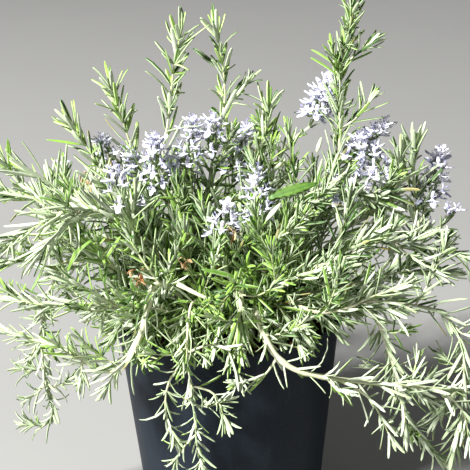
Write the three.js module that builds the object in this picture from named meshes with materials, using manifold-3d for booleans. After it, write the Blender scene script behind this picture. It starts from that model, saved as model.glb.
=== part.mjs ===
// A trailing rosemary in flower, standing in a round tapered nursery pot.
//
// Millimetres, +Z up. The origin is the middle of the pot's underside, the plant's front is -Y
// and its right is +X. Every leafy stem is one piece with its side shoots and leaves, and stands
// in a plain hole in the potting mix. Every bloom cluster is one piece at the end of a twig.

import * as THREE from "three";
import { mergeVertices } from "three/addons/utils/BufferGeometryUtils.js";
import Module from "manifold-3d";

const wasm = await Module();
wasm.setup();

// ---------- driving dimensions ----------

const POT = {
  height: 195,
  rimRadius: 111,
  baseRadius: 87.5,
  wall: 1.6,
  floor: 2.2,
  collarHeight: 24,
  collarStep: 1.8,
  lip: 1.2,
  lipHeight: 5,
  foot: 3,
  sides: 32,
  drainHoles: 6,
  drainRadius: 6,
  drainRing: 58,
};

const GAP = 0.3; // what touching pieces keep between them
const MIX_TOP = 180;
const MIX_CROWN = 183;
const STEM_FOOT = 162;
const HOLE_SPARE = 2; // how far a hole goes on below its stem
const HOLE_LENGTH = 30; // how far it goes up along the stem, out of the mix

const STEM = { root: 2.5, thickRoot: 3.3, tip: 0.8, shoot: 1.2, shootTip: 0.7, sides: 3 };
const HOLE_SIDES = 6;
const STEP = 28; // length of one straight stretch of a stem
const EXTRA = { // a short side shoot: where along its stem, how long, and which way it leaves
  first: 0.38,
  span: 0.5,
  length: 34,
  spread: 20,
  along: 0.6,
  aside: 0.75,
  up: 0.3,
  lift: 0.16,
  turn: 0.7,
  attempts: 9,
};
const LEAF = { // lean is the angle to the stem at its foot, at its tip and of the last leaf
  length: 27,
  spread: 6,
  radius: 1.6,
  flat: 0.62,
  widest: 0.42,
  spacing: 26.5,
  jitter: 0.6,
  lean: [1.0, 0.6, 0.2],
};
const BARE_STEM = 66; // length without leaves at the foot of a stem
const BARE_SHOOT = 9; // and of a side shoot
const CLEAR = 0.4; // least distance between the surfaces of two pieces that pass each other
const TABLE_CLEAR = 6; // least height of a leaf over what the pot stands on
const RIM_BAND = 4; // width of the ring at the rim that leaves keep out of
const FLORET = { length: 10, dimple: 3, notch: 0.38, lobeLift: 1.5, lean: 1.15, lastLean: 0.15 };
const STALK = { radius: 1.2, tip: 0.7, length: 4, perFloret: 3.4 };
const LOBES = [8.5, 6, 5, 5, 6]; // reach of a floret's lower, side and upper lobes
const GOLDEN = Math.PI * (3 - Math.sqrt(5));
const UP = new THREE.Vector3(0, 0, 1);

// ---------- routes of the stems ----------
//
// root: where the stem stands on the potting mix. route: the points it passes, in order.
// shoots: side shoots seen from the front, each starting at the stem's nearest place.
// extra: how many more short side shoots grow along it. thick: an old woody stem.

const stems = [
  { // arching front left, upper
    root: [-34, -22],
    route: [[-52, -46, 235], [-73, -66, 288], [-96, -75, 315], [-126, -80, 324], [-150, -82, 319],
      [-172, -85, 308], [-196, -86, 294]],
    shoots: [
      { route: [[-72, -64, 280], [-84, -62, 308], [-92, -60, 332]], bloom: 3 },
      { route: [[-126, -80, 324], [-141, -90, 312], [-158, -98, 296]] },
    ],
    extra: 1,
  },
  { // long shoot to the left
    root: [-41, -6],
    route: [[-62, -34, 238], [-80, -50, 280], [-98, -53, 312], [-129, -50, 320], [-159, -50, 326],
      [-182, -50, 327], [-203, -48, 334]],
    shoots: [{ route: [[-140, -50, 322], [-156, -42, 336], [-174, -36, 345]] }],
    extra: 1,
  },
  { // far left, tip turned up
    root: [-36, 10],
    route: [[-64, 9, 216], [-95, 10, 240], [-132, 18, 261], [-171, 28, 282], [-188, 30, 303],
      [-205, 30, 330]],
    shoots: [{ route: [[-150, 23, 270], [-156, 28, 298], [-154, 31, 318]] }],
    extra: 1,
  },
  { // left, standing
    root: [-27, -3],
    route: [[-50, -6, 220], [-76, -8, 254], [-96, -6, 294], [-112, -2, 330], [-123, 0, 352],
      [-138, 0, 378]],
    shoots: [{ route: [[-76, -8, 256], [-96, -22, 284], [-112, -30, 300]] }],
    extra: 1,
  },
  { // left, behind, standing
    root: [-24, 20],
    route: [[-45, 25, 225], [-65, 30, 265], [-82, 42, 311], [-89, 49, 342], [-98, 50, 375],
      [-104, 50, 398]],
    shoots: [
      { route: [[-66, 30, 268], [-78, 22, 298], [-82, 18, 318]], bloom: 4 },
      { route: [[-80, 40, 305], [-96, 32, 328], [-104, 27, 340]], bloom: 3 },
    ],
    extra: 0,
  },
  { // tall, left of the middle
    root: [-13, 5],
    route: [[-28, 8, 215], [-41, 10, 251], [-54, 18, 300], [-58, 25, 340], [-52, 30, 372],
      [-45, 30, 420], [-38, 30, 452]],
    shoots: [
      { route: [[-54, 18, 300], [-60, 8, 325], [-62, 2, 341]], bloom: 4 },
      { route: [[-52, 16, 290], [-37, 16, 326], [-33, 18, 346]], bloom: 4 },
    ],
    extra: 0,
  },
  { // tallest in the middle
    root: [-1, 15],
    route: [[-8, 18, 210], [-13, 22, 240], [-17, 32, 290], [-10, 40, 337], [-3, 40, 365],
      [2, 40, 390], [1, 40, 420], [-4, 40, 452]],
    shoots: [
      { route: [[0, 40, 380], [14, 43, 392], [24, 44, 404]] },
      { route: [[-14, 34, 300], [6, 34, 324], [12, 36, 336]], bloom: 4 },
      { route: [[-10, 40, 337], [-12, 29, 350], [-11, 23, 358]], bloom: 3 },
    ],
    extra: 0,
  },
  { // low left
    root: [-46, -24],
    route: [[-70, -45, 226], [-92, -60, 254], [-111, -70, 270], [-135, -74, 277], [-160, -78, 283],
      [-188, -80, 278]],
    shoots: [{ route: [[-120, -72, 273], [-136, -60, 262], [-152, -52, 254]] }],
    extra: 2,
  },
  { // lower front left
    root: [-34, -40],
    route: [[-48, -66, 215], [-66, -88, 232], [-94, -96, 238], [-114, -98, 242], [-136, -98, 243],
      [-160, -95, 241], [-188, -90, 244]],
    shoots: [{ route: [[-100, -97, 239], [-118, -108, 258], [-134, -112, 268]] }],
    extra: 1,
  },
  { // hangs down at the left
    root: [-53, -6],
    route: [[-78, -12, 226], [-106, -13, 246], [-140, -20, 252], [-163, -26, 234], [-175, -34, 196],
      [-176, -39, 164], [-173, -42, 136], [-169, -44, 112], [-176, -46, 97], [-190, -46, 97]],
    shoots: [
      { route: [[-175, -36, 182], [-184, -34, 170], [-190, -32, 158]] },
      { route: [[-174, -42, 140], [-183, -45, 130], [-190, -47, 126]] },
    ],
    extra: 1,
  },
  { // thick stem that bends down over the rim, front left
    root: [-22, -52],
    route: [[-33, -68, 222], [-51, -87, 252], [-64, -98, 258], [-70, -105, 240], [-77, -111, 217],
      [-86, -115, 200], [-98, -118, 188], [-112, -118, 186], [-128, -115, 196], [-150, -110, 206],
      [-172, -105, 212], [-196, -99, 217]],
    shoots: [
      { route: [[-60, -94, 258], [-70, -96, 276], [-84, -92, 300]] },
      { route: [[-98, -118, 188], [-103, -119, 180], [-108, -120, 172]] },
      { route: [[-128, -115, 196], [-130, -118, 188], [-131, -119, 180]] },
    ],
    extra: 1,
    thick: true,
  },
  { // hangs down in front
    root: [-8, -50],
    route: [[-20, -76, 226], [-31, -102, 242], [-35, -118, 224], [-36, -123, 196], [-34, -124, 174],
      [-32, -124, 147], [-31, -123, 122], [-28, -121, 92]],
    shoots: [
      { route: [[-35, -122, 200], [-52, -127, 180], [-57, -127, 152], [-51, -125, 124]] },
      { route: [[-35, -123, 205], [-15, -127, 213], [-2, -128, 210], [8, -130, 184]] },
      { route: [[-34, -124, 172], [-14, -128, 166], [-5, -129, 142]] },
      { route: [[-31, -123, 124], [-42, -124, 112], [-50, -124, 98]] },
    ],
    extra: 0,
  },
  { // short, over the rim in front
    root: [7, -46],
    route: [[9, -66, 234], [12, -88, 254], [12, -106, 244], [10, -117, 226], [10, -122, 208]],
    shoots: [],
    extra: 1,
  },
  { // thick stem over the rim to the lower right
    root: [22, -48],
    route: [[23, -72, 216], [26, -98, 230], [31, -113, 217], [40, -121, 201], [55, -125, 188],
      [80, -125, 179], [112, -120, 171], [150, -112, 162], [188, -100, 152], [219, -92, 145]],
    shoots: [
      { route: [[44, -122, 197], [30, -128, 182], [14, -130, 178]] },
      { route: [[96, -123, 175], [124, -120, 154], [136, -117, 132], [144, -114, 112]] },
      { route: [[146, -113, 163], [156, -113, 140], [159, -112, 118]] },
      { route: [[188, -100, 152], [212, -99, 128], [219, -98, 98]] },
    ],
    extra: 1,
    thick: true,
  },
  { // right, arching over and hanging down
    root: [32, -36],
    route: [[46, -54, 218], [64, -77, 226], [82, -90, 225], [100, -95, 229], [126, -95, 237],
      [160, -93, 232], [186, -91, 225], [202, -90, 210], [211, -89, 190], [214, -88, 160],
      [213, -87, 122], [208, -86, 86]],
    shoots: [
      { route: [[112, -95, 233], [130, -104, 246], [150, -110, 254]] },
      { route: [[213, -88, 150], [202, -80, 130], [192, -74, 108]] },
    ],
    extra: 1,
  },
  { // right, hanging nearer the pot
    root: [44, -24],
    route: [[66, -42, 212], [93, -52, 222], [118, -60, 222], [135, -64, 208], [142, -67, 190],
      [150, -70, 166], [156, -71, 140], [163, -71, 114], [178, -71, 86], [194, -71, 66]],
    shoots: [
      { route: [[150, -70, 166], [163, -74, 148], [178, -78, 134]] },
    ],
    extra: 1,
  },
  { // right, long
    root: [40, -8],
    route: [[54, -34, 226], [74, -54, 252], [100, -60, 263], [115, -62, 271], [132, -60, 279],
      [155, -60, 280], [180, -60, 275], [206, -57, 266], [226, -55, 256]],
    shoots: [
      { route: [[92, -60, 260], [108, -70, 276], [126, -78, 290]] },
      { route: [[150, -60, 280], [166, -70, 268], [184, -76, 258]] },
    ],
    extra: 1,
  },
  { // right, lower
    root: [54, -8],
    route: [[76, -16, 214], [98, -26, 222], [125, -32, 230], [150, -34, 238], [172, -34, 240],
      [200, -34, 238]],
    shoots: [{ route: [[120, -31, 229], [138, -20, 216], [156, -12, 206]] }],
    extra: 1,
  },
  { // right, woody, with upright flowering twigs
    root: [30, 6],
    route: [[40, 5, 224], [50, 4, 262], [66, 4, 294], [84, 5, 308], [108, 5, 311], [130, 5, 303],
      [156, 5, 289], [176, 5, 271], [200, 5, 264]],
    shoots: [
      { route: [[156, 5, 289], [155, 6, 308], [147, 6, 326], [140, 6, 336]], bloom: 4 },
      { route: [[178, 5, 270], [178, 3, 300], [176, 2, 326], [176, 1, 350]] },
      { route: [[184, 5, 268], [192, 10, 296], [197, 12, 314]], bloom: 4 },
      { route: [[140, 5, 298], [160, -7, 316], [162, -10, 342]] },
      { route: [[112, 5, 310], [121, -2, 316]], bloom: 3 },
      { route: [[198, 5, 264], [206, 3, 274]], bloom: 2 },
    ],
    extra: 1,
  },
  { // tall, right
    root: [18, 12],
    route: [[40, 12, 222], [66, 14, 266], [92, 15, 304], [104, 16, 330], [109, 17, 360],
      [108, 18, 394], [111, 20, 428], [117, 20, 460], [122, 20, 492], [124, 20, 516]],
    shoots: [
      { route: [[109, 17, 362], [124, 15, 376], [136, 15, 392]] },
      { route: [[102, 16, 326], [122, 20, 338], [132, 22, 346]], bloom: 4 },
      { route: [[110, 19, 410], [105, 16, 424], [102, 14, 436]] },
      { route: [[111, 20, 422], [124, 22, 434], [136, 24, 443]] },
    ],
    extra: 0,
  },
  { // behind the middle, carries the large cluster
    root: [10, 24],
    route: [[22, 28, 226], [36, 38, 278], [48, 44, 320], [64, 45, 346], [82, 45, 360],
      [89, 45, 374]],
    shoots: [{ route: [[56, 45, 334], [42, 40, 352], [36, 37, 366]] }],
    extra: 1,
    bloom: 6,
  },
  { // middle, behind, standing
    root: [6, 0],
    route: [[10, 8, 232], [18, 20, 282], [32, 30, 330], [40, 35, 362], [43, 36, 378]],
    shoots: [],
    extra: 1,
  },
  { // middle left, front
    root: [-18, -32],
    route: [[-28, -50, 228], [-33, -60, 262], [-37, -64, 292]],
    shoots: [],
    extra: 1,
  },
  { // middle, front
    root: [-6, -16],
    route: [[-8, -34, 234], [-8, -46, 270], [-3, -48, 290]],
    shoots: [{ route: [[-8, -42, 258], [-22, -44, 276], [-34, -40, 288]] }],
    extra: 1,
    bloom: 3,
  },
  { // middle right, front
    root: [24, -16],
    route: [[32, -34, 232], [42, -44, 268], [56, -46, 292], [66, -46, 306]],
    shoots: [{ route: [[34, -36, 240], [30, -20, 282], [30, -10, 306]], bloom: 4 }],
    extra: 1,
  },
  { // front right, low
    root: [14, -34],
    route: [[30, -60, 226], [44, -76, 246], [64, -82, 258], [84, -86, 264]],
    shoots: [],
    extra: 1,
  },
  { // back left, long
    root: [-38, 30],
    route: [[-72, 66, 226], [-108, 106, 256], [-142, 138, 260], [-166, 162, 240], [-180, 176, 212]],
    shoots: [{ route: [[-112, 110, 257], [-122, 136, 274], [-128, 152, 290]] }],
    extra: 2,
  },
  { // back, left of the middle
    root: [-14, 44],
    route: [[-24, 84, 228], [-36, 130, 252], [-48, 172, 246], [-56, 196, 218], [-58, 206, 184]],
    shoots: [{ route: [[-38, 136, 253], [-64, 152, 268], [-84, 164, 276]] }],
    extra: 2,
  },
  { // back, right of the middle
    root: [14, 44],
    route: [[28, 84, 234], [42, 134, 262], [54, 176, 268], [64, 204, 260]],
    shoots: [{ route: [[44, 140, 264], [28, 158, 282], [16, 170, 296]] }],
    extra: 2,
  },
  { // back right, hanging
    root: [36, 30],
    route: [[72, 66, 228], [110, 104, 252], [144, 132, 250], [166, 148, 222], [176, 154, 186]],
    shoots: [{ route: [[112, 106, 252], [112, 130, 270], [110, 146, 284]] }],
    extra: 2,
  },
  { // right, behind
    root: [50, 14],
    route: [[88, 36, 228], [126, 58, 256], [162, 74, 268], [192, 84, 262]],
    shoots: [{ route: [[128, 59, 257], [146, 48, 276], [160, 42, 290]] }],
    extra: 1,
  },
  { // left, behind
    root: [-48, 16],
    route: [[-86, 38, 226], [-124, 62, 250], [-158, 80, 250], [-186, 92, 232]],
    shoots: [{ route: [[-126, 63, 250], [-138, 84, 268], [-148, 96, 282]] }],
    extra: 2,
  },
];

// ---------- small helpers ----------

// The same fraction of 1 for the same number every time: the seeded draw for leaves and shoots.
function draw(seed) {
  const value = Math.sin(seed * 12.9898) * 43758.5453;
  return value - Math.floor(value);
}

function vector(point) {
  return new THREE.Vector3(...point);
}

// A closed geometry as a solid, with shared vertices merged and empty triangles left out.
function toSolid(geometry) {
  const bare = geometry.index ? geometry.toNonIndexed() : geometry.clone();
  bare.deleteAttribute("normal");
  bare.deleteAttribute("uv");
  const merged = mergeVertices(bare, 1e-4);
  const index = merged.index.array;
  const kept = [];
  for (let i = 0; i < index.length; i += 3) {
    const [a, b, c] = [index[i], index[i + 1], index[i + 2]];
    if (a !== b && b !== c && c !== a) kept.push(a, b, c);
  }
  return new wasm.Manifold(
    new wasm.Mesh({
      numProp: 3,
      vertProperties: merged.attributes.position.array,
      triVerts: new Uint32Array(kept),
    }),
  );
}

// The largest body of a solid: loose scraps and sealed hollows are dropped.
function largestBody(solid) {
  const bodies = solid.decompose();
  return bodies.reduce((best, body) => (body.volume() > best.volume() ? body : best));
}

function toGeometry(solid) {
  const { vertProperties, triVerts } = solid.getMesh();
  const geometry = new THREE.BufferGeometry();
  geometry.setAttribute("position", new THREE.BufferAttribute(vertProperties, 3));
  geometry.setIndex(new THREE.BufferAttribute(triVerts, 1));
  const faceted = geometry.toNonIndexed();
  faceted.computeVertexNormals();
  return faceted;
}

function joined(solids) {
  return largestBody(solids.reduce((whole, solid) => whole.add(solid)));
}

// Closest distance between two straight stretches [a, b] and [c, d].
function stretchDistance(a, b, c, d) {
  const u = b.clone().sub(a);
  const v = d.clone().sub(c);
  const w = a.clone().sub(c);
  const [uu, uv, vv, uw, vw] = [u.dot(u), u.dot(v), v.dot(v), u.dot(w), v.dot(w)];
  const spread = uu * vv - uv * uv;
  let s = spread > 1e-9 ? THREE.MathUtils.clamp((uv * vw - vv * uw) / spread, 0, 1) : 0;
  const t = THREE.MathUtils.clamp((uv * s + vw) / vv, 0, 1);
  s = THREE.MathUtils.clamp((uv * t - uw) / uu, 0, 1);
  return w.addScaledVector(u, s).addScaledVector(v, -t).length();
}

// ---------- shapes ----------

// A tube that tapers along a curve: a cylinder whose rings are carried onto the curve.
function taperedTube(curve, rootRadius, tipRadius, sides, steps) {
  const geometry = new THREE.CylinderGeometry(tipRadius, rootRadius, 1, sides, steps);
  const frames = curve.computeFrenetFrames(steps, false);
  const position = geometry.attributes.position;
  for (let i = 0; i < position.count; i++) {
    const ring = Math.round((position.getY(i) + 0.5) * steps);
    const place = curve
      .getPointAt(ring / steps)
      .addScaledVector(frames.normals[ring], position.getX(i))
      .addScaledVector(frames.binormals[ring], -position.getZ(i));
    position.setXYZ(i, place.x, place.y, place.z);
  }
  return geometry;
}

// A three-sided leaf of unit length along +Y, widest before its middle.
function unitLeaf() {
  const profile = [[0, 0], [1, LEAF.widest], [0, 1]].map((p) => new THREE.Vector2(...p));
  return new THREE.LatheGeometry(profile, 3);
}

// A floret along +Y with its foot at the origin: a funnel whose rim has five pointed lobes,
// the lower one the longest, and whose mouth is dimpled.
function unitFloret() {
  const { length, dimple, notch, lobeLift } = FLORET;
  const geometry = new THREE.ConeGeometry(1, length, 2 * LOBES.length);
  geometry.rotateX(Math.PI).translate(0, length / 2, 0);
  const position = geometry.attributes.position;
  for (let i = 0; i < position.count; i++) {
    const [x, y, z] = [position.getX(i), position.getY(i), position.getZ(i)];
    const radius = Math.hypot(x, z);
    if (y > length / 2 && radius < 0.5) position.setY(i, length - dimple);
    if (radius < 0.5) continue;
    const corner = Math.round((Math.atan2(z, x) / Math.PI) * LOBES.length + 2 * LOBES.length);
    const isNotch = corner % 2 === 1;
    const lobe = LOBES[Math.floor(corner / 2) % LOBES.length];
    const reach = isNotch ? lobe * notch : lobe;
    position.setXYZ(i, x * reach, isNotch ? y : y + lobeLift, z * reach);
  }
  return geometry;
}

const leafShape = unitLeaf();
const floretShape = unitFloret();

// A copy of a shape with its +Y along `direction`, its -Z towards `face` and its foot at `root`.
function placedShape(shape, root, direction, face, scale) {
  const along = direction.clone().normalize();
  const across = along.clone().cross(face).normalize();
  const normal = across.clone().cross(along);
  const turn = new THREE.Matrix4().makeBasis(across, along, normal).setPosition(root);
  return shape.clone().scale(...scale).applyMatrix4(turn);
}

function potSolid() {
  const { height, rimRadius, baseRadius, wall, floor, collarHeight, collarStep, lip, foot } = POT;
  const collar = height - collarHeight;
  const radiusAt = (z) => baseRadius + ((rimRadius - lip - collarStep - baseRadius) * z) / height;
  const outside = [
    [0, 0],
    [baseRadius - foot, 0],
    [baseRadius, foot],
    [radiusAt(collar), collar],
    [radiusAt(collar) + collarStep, collar + collarStep],
    [rimRadius - lip, height - POT.lipHeight],
    [rimRadius, height - POT.lipHeight + lip],
    [rimRadius, height],
  ];
  const inside = [
    [rimRadius - lip - wall, height],
    [radiusAt(collar) + collarStep - wall, collar + collarStep],
    [radiusAt(collar) - wall, collar - wall],
    [baseRadius - foot, floor],
    [0, floor],
  ];
  const profile = [...outside, ...inside].map(([r, z]) => new THREE.Vector2(r, z));
  const shell = new THREE.LatheGeometry(profile, POT.sides).rotateX(Math.PI / 2);
  let pot = toSolid(shell);
  for (let i = 0; i < POT.drainHoles; i++) {
    const angle = (i * 2 * Math.PI) / POT.drainHoles;
    const hole = new THREE.CylinderGeometry(POT.drainRadius, POT.drainRadius, 4 * floor, 8);
    hole.rotateX(Math.PI / 2);
    hole.translate(POT.drainRing * Math.cos(angle), POT.drainRing * Math.sin(angle), floor / 2);
    pot = pot.subtract(toSolid(hole));
  }
  return pot;
}

// The pot's inner radius at a height, as its faceted wall has it at the middle of a side.
function innerRadius(z) {
  const { height, rimRadius, baseRadius, wall, collarStep, lip } = POT;
  const taper = (rimRadius - lip - collarStep - baseRadius) / height;
  const facet = Math.cos(Math.PI / POT.sides);
  return (baseRadius + taper * z - wall) * facet;
}

// The potting mix, with a hole along the foot of each stem.
function mixSolid(mains) {
  const bottom = POT.floor + GAP;
  const profile = [
    [0, bottom],
    [POT.baseRadius - POT.foot - 2, bottom],
    [innerRadius(MIX_TOP - 9) - GAP, MIX_TOP - 9],
    [innerRadius(MIX_TOP - 9) - GAP, MIX_TOP],
    [0, MIX_CROWN],
  ];
  const points = profile.map(([r, z]) => new THREE.Vector2(r, z));
  let mix = toSolid(new THREE.LatheGeometry(points, POT.sides).rotateX(Math.PI / 2));
  for (const main of mains) {
    const radius = (main.radius + GAP) / Math.cos(Math.PI / HOLE_SIDES);
    const along = main.rings[1].clone().sub(main.rings[0]).normalize();
    const below = main.rings[0].clone().addScaledVector(along, -HOLE_SPARE);
    const above = main.rings[0].clone().addScaledVector(along, HOLE_LENGTH);
    const hole = taperedTube(new THREE.LineCurve3(below, above), radius, radius, HOLE_SIDES, 1);
    mix = mix.subtract(toSolid(hole));
  }
  return mix;
}

// ---------- how the plant grows ----------

function rootRadius(stem) {
  return stem.thick ? STEM.thickRoot : STEM.root;
}

function curveThrough(points) {
  return new THREE.CatmullRomCurve3(points, false, "centripetal");
}

// The straight stretches of a branch, for measuring what passes it.
function stretchesOf(branch) {
  return branch.rings.slice(1).map((point, i) => {
    const radius = THREE.MathUtils.lerp(branch.radius, branch.tip, i / branch.steps);
    return { from: branch.rings[i], to: point, radius };
  });
}

// The axis of a branch at a fraction of its length, on the straight stretch between two rings.
function axisPoint(branch, fraction) {
  const ring = Math.min(Math.floor(fraction * branch.steps), branch.steps - 1);
  return branch.rings[ring].clone().lerp(branch.rings[ring + 1], fraction * branch.steps - ring);
}

function makeBranch(points, radius, tip) {
  const curve = curveThrough(points);
  const steps = Math.max(2, Math.round(curve.getLength() / STEP));
  const branch = { curve, steps, radius, tip, rings: curve.getSpacedPoints(steps) };
  branch.stretches = stretchesOf(branch);
  return branch;
}

function mainBranch(stem) {
  const [x, y] = stem.root;
  const points = [[x, y, STEM_FOOT], [x, y, MIX_CROWN + 3], ...stem.route].map(vector);
  return makeBranch(points, rootRadius(stem), STEM.tip);
}

function branchTube(branch) {
  return taperedTube(branch.curve, branch.radius, branch.tip, STEM.sides, branch.steps);
}

// A side shoot that starts on the axis of the branch at the place nearest to its first point.
function sideBranch(parent, route) {
  const points = route.map(vector);
  const samples = Array.from({ length: 120 }, (_, i) => axisPoint(parent, i / 120));
  const distance = (p) => p.distanceTo(points[0]);
  points[0] = samples.reduce((best, p) => (distance(p) < distance(best) ? p : best));
  return makeBranch(points, STEM.shoot, STEM.shootTip);
}

// A short side shoot that leaves a branch at a fraction of its length and turns upwards.
function extraBranch(parent, fraction, turn, length) {
  const root = axisPoint(parent, fraction);
  const tangent = parent.curve.getTangentAt(fraction);
  const side = tangent.clone().cross(UP).normalize().applyAxisAngle(tangent, turn);
  const out = tangent.clone().multiplyScalar(EXTRA.along);
  out.addScaledVector(side, EXTRA.aside).addScaledVector(UP, EXTRA.up);
  const middle = root.clone().addScaledVector(out, length / 2);
  const tip = root.clone().addScaledVector(out, length).addScaledVector(UP, length * EXTRA.lift);
  return makeBranch([root, middle, tip], STEM.shoot, STEM.shootTip);
}

// True where a point is in the pot, in its mix, in the table below or too near one of them.
function blocked(point, margin) {
  const radius = Math.hypot(point.x, point.y);
  if (point.z < TABLE_CLEAR) return true;
  if (point.z > POT.height + margin) return false;
  if (radius > POT.rimRadius + margin) return false;
  return radius > POT.rimRadius - RIM_BAND - margin || point.z < MIX_CROWN + margin;
}

// What has been placed so far: stretches with a radius and the number of the piece they belong to.
const placed = [];

function place(stretches, owner) {
  for (const stretch of stretches) placed.push({ ...stretch, owner });
}

// True where a stretch keeps clear of every other piece, and of its own piece beyond its root.
function isClear(stretch, owner, ownMargin) {
  const length = stretch.from.distanceTo(stretch.to);
  const middle = stretch.from.clone().lerp(stretch.to, 0.5);
  const beyond = stretch.from.clone().lerp(stretch.to, 0.3);
  for (const point of [stretch.to, middle, beyond]) if (blocked(point, stretch.radius)) return false;
  for (const other of placed) {
    const reach = (length + other.from.distanceTo(other.to)) / 2 + stretch.radius + other.radius;
    const between = middle.distanceTo(other.from.clone().lerp(other.to, 0.5));
    if (between > reach + CLEAR) continue;
    const own = other.owner === owner;
    const from = own ? beyond : stretch.from;
    const least = own ? ownMargin : stretch.radius + other.radius + CLEAR;
    if (stretchDistance(from, stretch.to, other.from, other.to) < least) return false;
  }
  return true;
}

// The leaves of one branch: each on the middle of one of the stem's sides, by turns round it,
// leaning further to the tip, and left out where no side is clear. The last one ends the branch.
function leavesOf(branch, owner, bareLength, seed) {
  const leaves = [];
  const length = branch.curve.getLength();
  const count = Math.max(1, Math.round((length - bareLength) / LEAF.spacing));
  const frames = branch.curve.computeFrenetFrames(branch.steps, false);
  for (let i = 0; i <= count; i++) {
    const pace = (length - bareLength) / count;
    const along = bareLength + (i + LEAF.jitter * draw(seed + i)) * pace;
    const fraction = Math.min(along / length, 0.99);
    const root = axisPoint(branch, fraction);
    const tangent = branch.curve.getTangentAt(fraction);
    const [footLean, tipLean, lastLean] = LEAF.lean;
    const lean = i === count ? lastLean : THREE.MathUtils.lerp(footLean, tipLean, fraction);
    const size = LEAF.length + LEAF.spread * (2 * draw(seed + 31 * i) - 1);
    const ring = Math.floor(fraction * branch.steps);
    for (let attempt = 0; attempt < STEM.sides; attempt++) {
      const turn = ((i + attempt + 0.5) * 2 * Math.PI) / STEM.sides;
      const aside = frames.normals[ring].clone().multiplyScalar(Math.sin(turn));
      aside.addScaledVector(frames.binormals[ring], -Math.cos(turn));
      const direction = tangent.clone().multiplyScalar(Math.cos(lean));
      direction.addScaledVector(aside, Math.sin(lean));
      const stretch = {
        from: root,
        to: root.clone().addScaledVector(direction, size),
        radius: LEAF.radius,
      };
      if (!isClear(stretch, owner, 2 * LEAF.radius)) continue;
      place([stretch], owner);
      const scale = [LEAF.radius, size, LEAF.radius * LEAF.flat];
      leaves.push(placedShape(leafShape, root, direction, tangent, scale));
      break;
    }
  }
  return leaves;
}

// A cluster of florets on a slim stalk that starts just clear of a twig's end.
function bloomParts(twig, count, seed) {
  const direction = twig.curve.getTangentAt(1);
  const start = twig.curve.getPointAt(1).addScaledVector(direction, GAP);
  const end = start.clone().addScaledVector(direction, STALK.length + STALK.perFloret * count);
  const stalk = new THREE.LineCurve3(start, end);
  const parts = [taperedTube(stalk, STALK.radius, STALK.tip, STEM.sides, 1)];
  const reaches = [{ from: start, to: end, radius: STALK.radius }];
  for (let i = 0; i < count; i++) {
    const last = i === count - 1;
    const root = stalk.getPointAt(last ? 0.8 : 0.2 + (0.75 * i) / count);
    const aside = direction.clone().cross(new THREE.Vector3(0, 1, 0.1)).normalize();
    aside.applyAxisAngle(direction, i * GOLDEN + seed);
    const lean = last ? FLORET.lastLean : FLORET.lean;
    const axis = direction.clone().multiplyScalar(Math.cos(lean));
    axis.addScaledVector(aside, Math.sin(lean));
    parts.push(placedShape(floretShape, root, axis, UP, [1, 1, 1]));
    const mouth = root.clone().addScaledVector(axis, FLORET.length + FLORET.lobeLift);
    reaches.push({ from: root.clone().lerp(mouth, 0.4), to: mouth, radius: LOBES[0] * 0.85 });
  }
  return { parts, reaches };
}

// ---------- materials ----------

const materials = {
  pot: new THREE.MeshStandardMaterial({ color: 0x23282e, roughness: 0.5, metalness: 0 }),
  mix: new THREE.MeshStandardMaterial({ color: 0x3d2b1e, roughness: 0.95, metalness: 0 }),
  stem: new THREE.MeshStandardMaterial({ color: 0x7f9d68, roughness: 0.6, metalness: 0 }),
  bloom: new THREE.MeshStandardMaterial({ color: 0xc3c4e6, roughness: 0.7, metalness: 0 }),
};

// ---------- the plant in its pot ----------

const plant = new THREE.Group();

function add(name, solid, material) {
  const mesh = new THREE.Mesh(toGeometry(solid), material);
  mesh.name = name;
  plant.add(mesh);
}

function numbered(name, number) {
  return name + "_" + String(number).padStart(2, "0");
}

// Main stems first, then the side shoots seen from the front, the blooms, the short side shoots
// and the leaves, so that each later part is turned clear of what is already there.
function growPlant(mains) {
  const grown = stems.map((stem, owner) => {
    place(mains[owner].stretches, owner);
    return { stem, owner, main: mains[owner], twigs: [], shoots: [] };
  });
  for (const { stem, owner, main, twigs, shoots } of grown) {
    if (stem.bloom) twigs.push({ branch: main, bloom: stem.bloom });
    for (const { route, bloom } of stem.shoots) {
      const branch = sideBranch(main, route);
      place(branch.stretches, owner);
      shoots.push(branch);
      if (bloom) twigs.push({ branch, bloom });
    }
  }
  let bloomNumber = 0;
  for (const { twigs } of grown) {
    for (const { branch, bloom } of twigs) {
      bloomNumber += 1;
      const { parts, reaches } = bloomParts(branch, bloom, bloomNumber);
      place(reaches, stems.length + bloomNumber);
      add(numbered("bloom", bloomNumber), joined(parts.map(toSolid)), materials.bloom);
    }
  }
  for (const { stem, owner, main, shoots } of grown) growExtraShoots(stem, owner, main, shoots);
  for (const { owner, main, shoots } of grown) {
    const tubes = [main, ...shoots].map(branchTube);
    const leaves = leavesOf(main, owner, BARE_STEM, 17 * owner);
    shoots.forEach((shoot, i) => {
      leaves.push(...leavesOf(shoot, owner, BARE_SHOOT, 17 * owner + 5 * i + 5));
    });
    add(numbered("leafy_stem", owner + 1), joined([...tubes, ...leaves].map(toSolid)), materials.stem);
  }
}

function growExtraShoots(stem, owner, main, shoots) {
  for (let i = 0; i < stem.extra; i++) {
    const fraction = EXTRA.first + (EXTRA.span * (i + draw(owner + 7 * i))) / stem.extra;
    const length = EXTRA.length + EXTRA.spread * draw(3 * owner + i);
    for (let attempt = 0; attempt < EXTRA.attempts; attempt++) {
      const turn = i * GOLDEN + owner + attempt * EXTRA.turn;
      const branch = extraBranch(main, fraction, turn, length);
      if (!branch.stretches.every((stretch) => isClear(stretch, owner, STEM.root))) continue;
      place(branch.stretches, owner);
      shoots.push(branch);
      break;
    }
  }
}

const mains = stems.map(mainBranch);
add("pot", potSolid(), materials.pot);
add("potting_mix", mixSolid(mains), materials.mix);
growPlant(mains);

export default plant;
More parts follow.
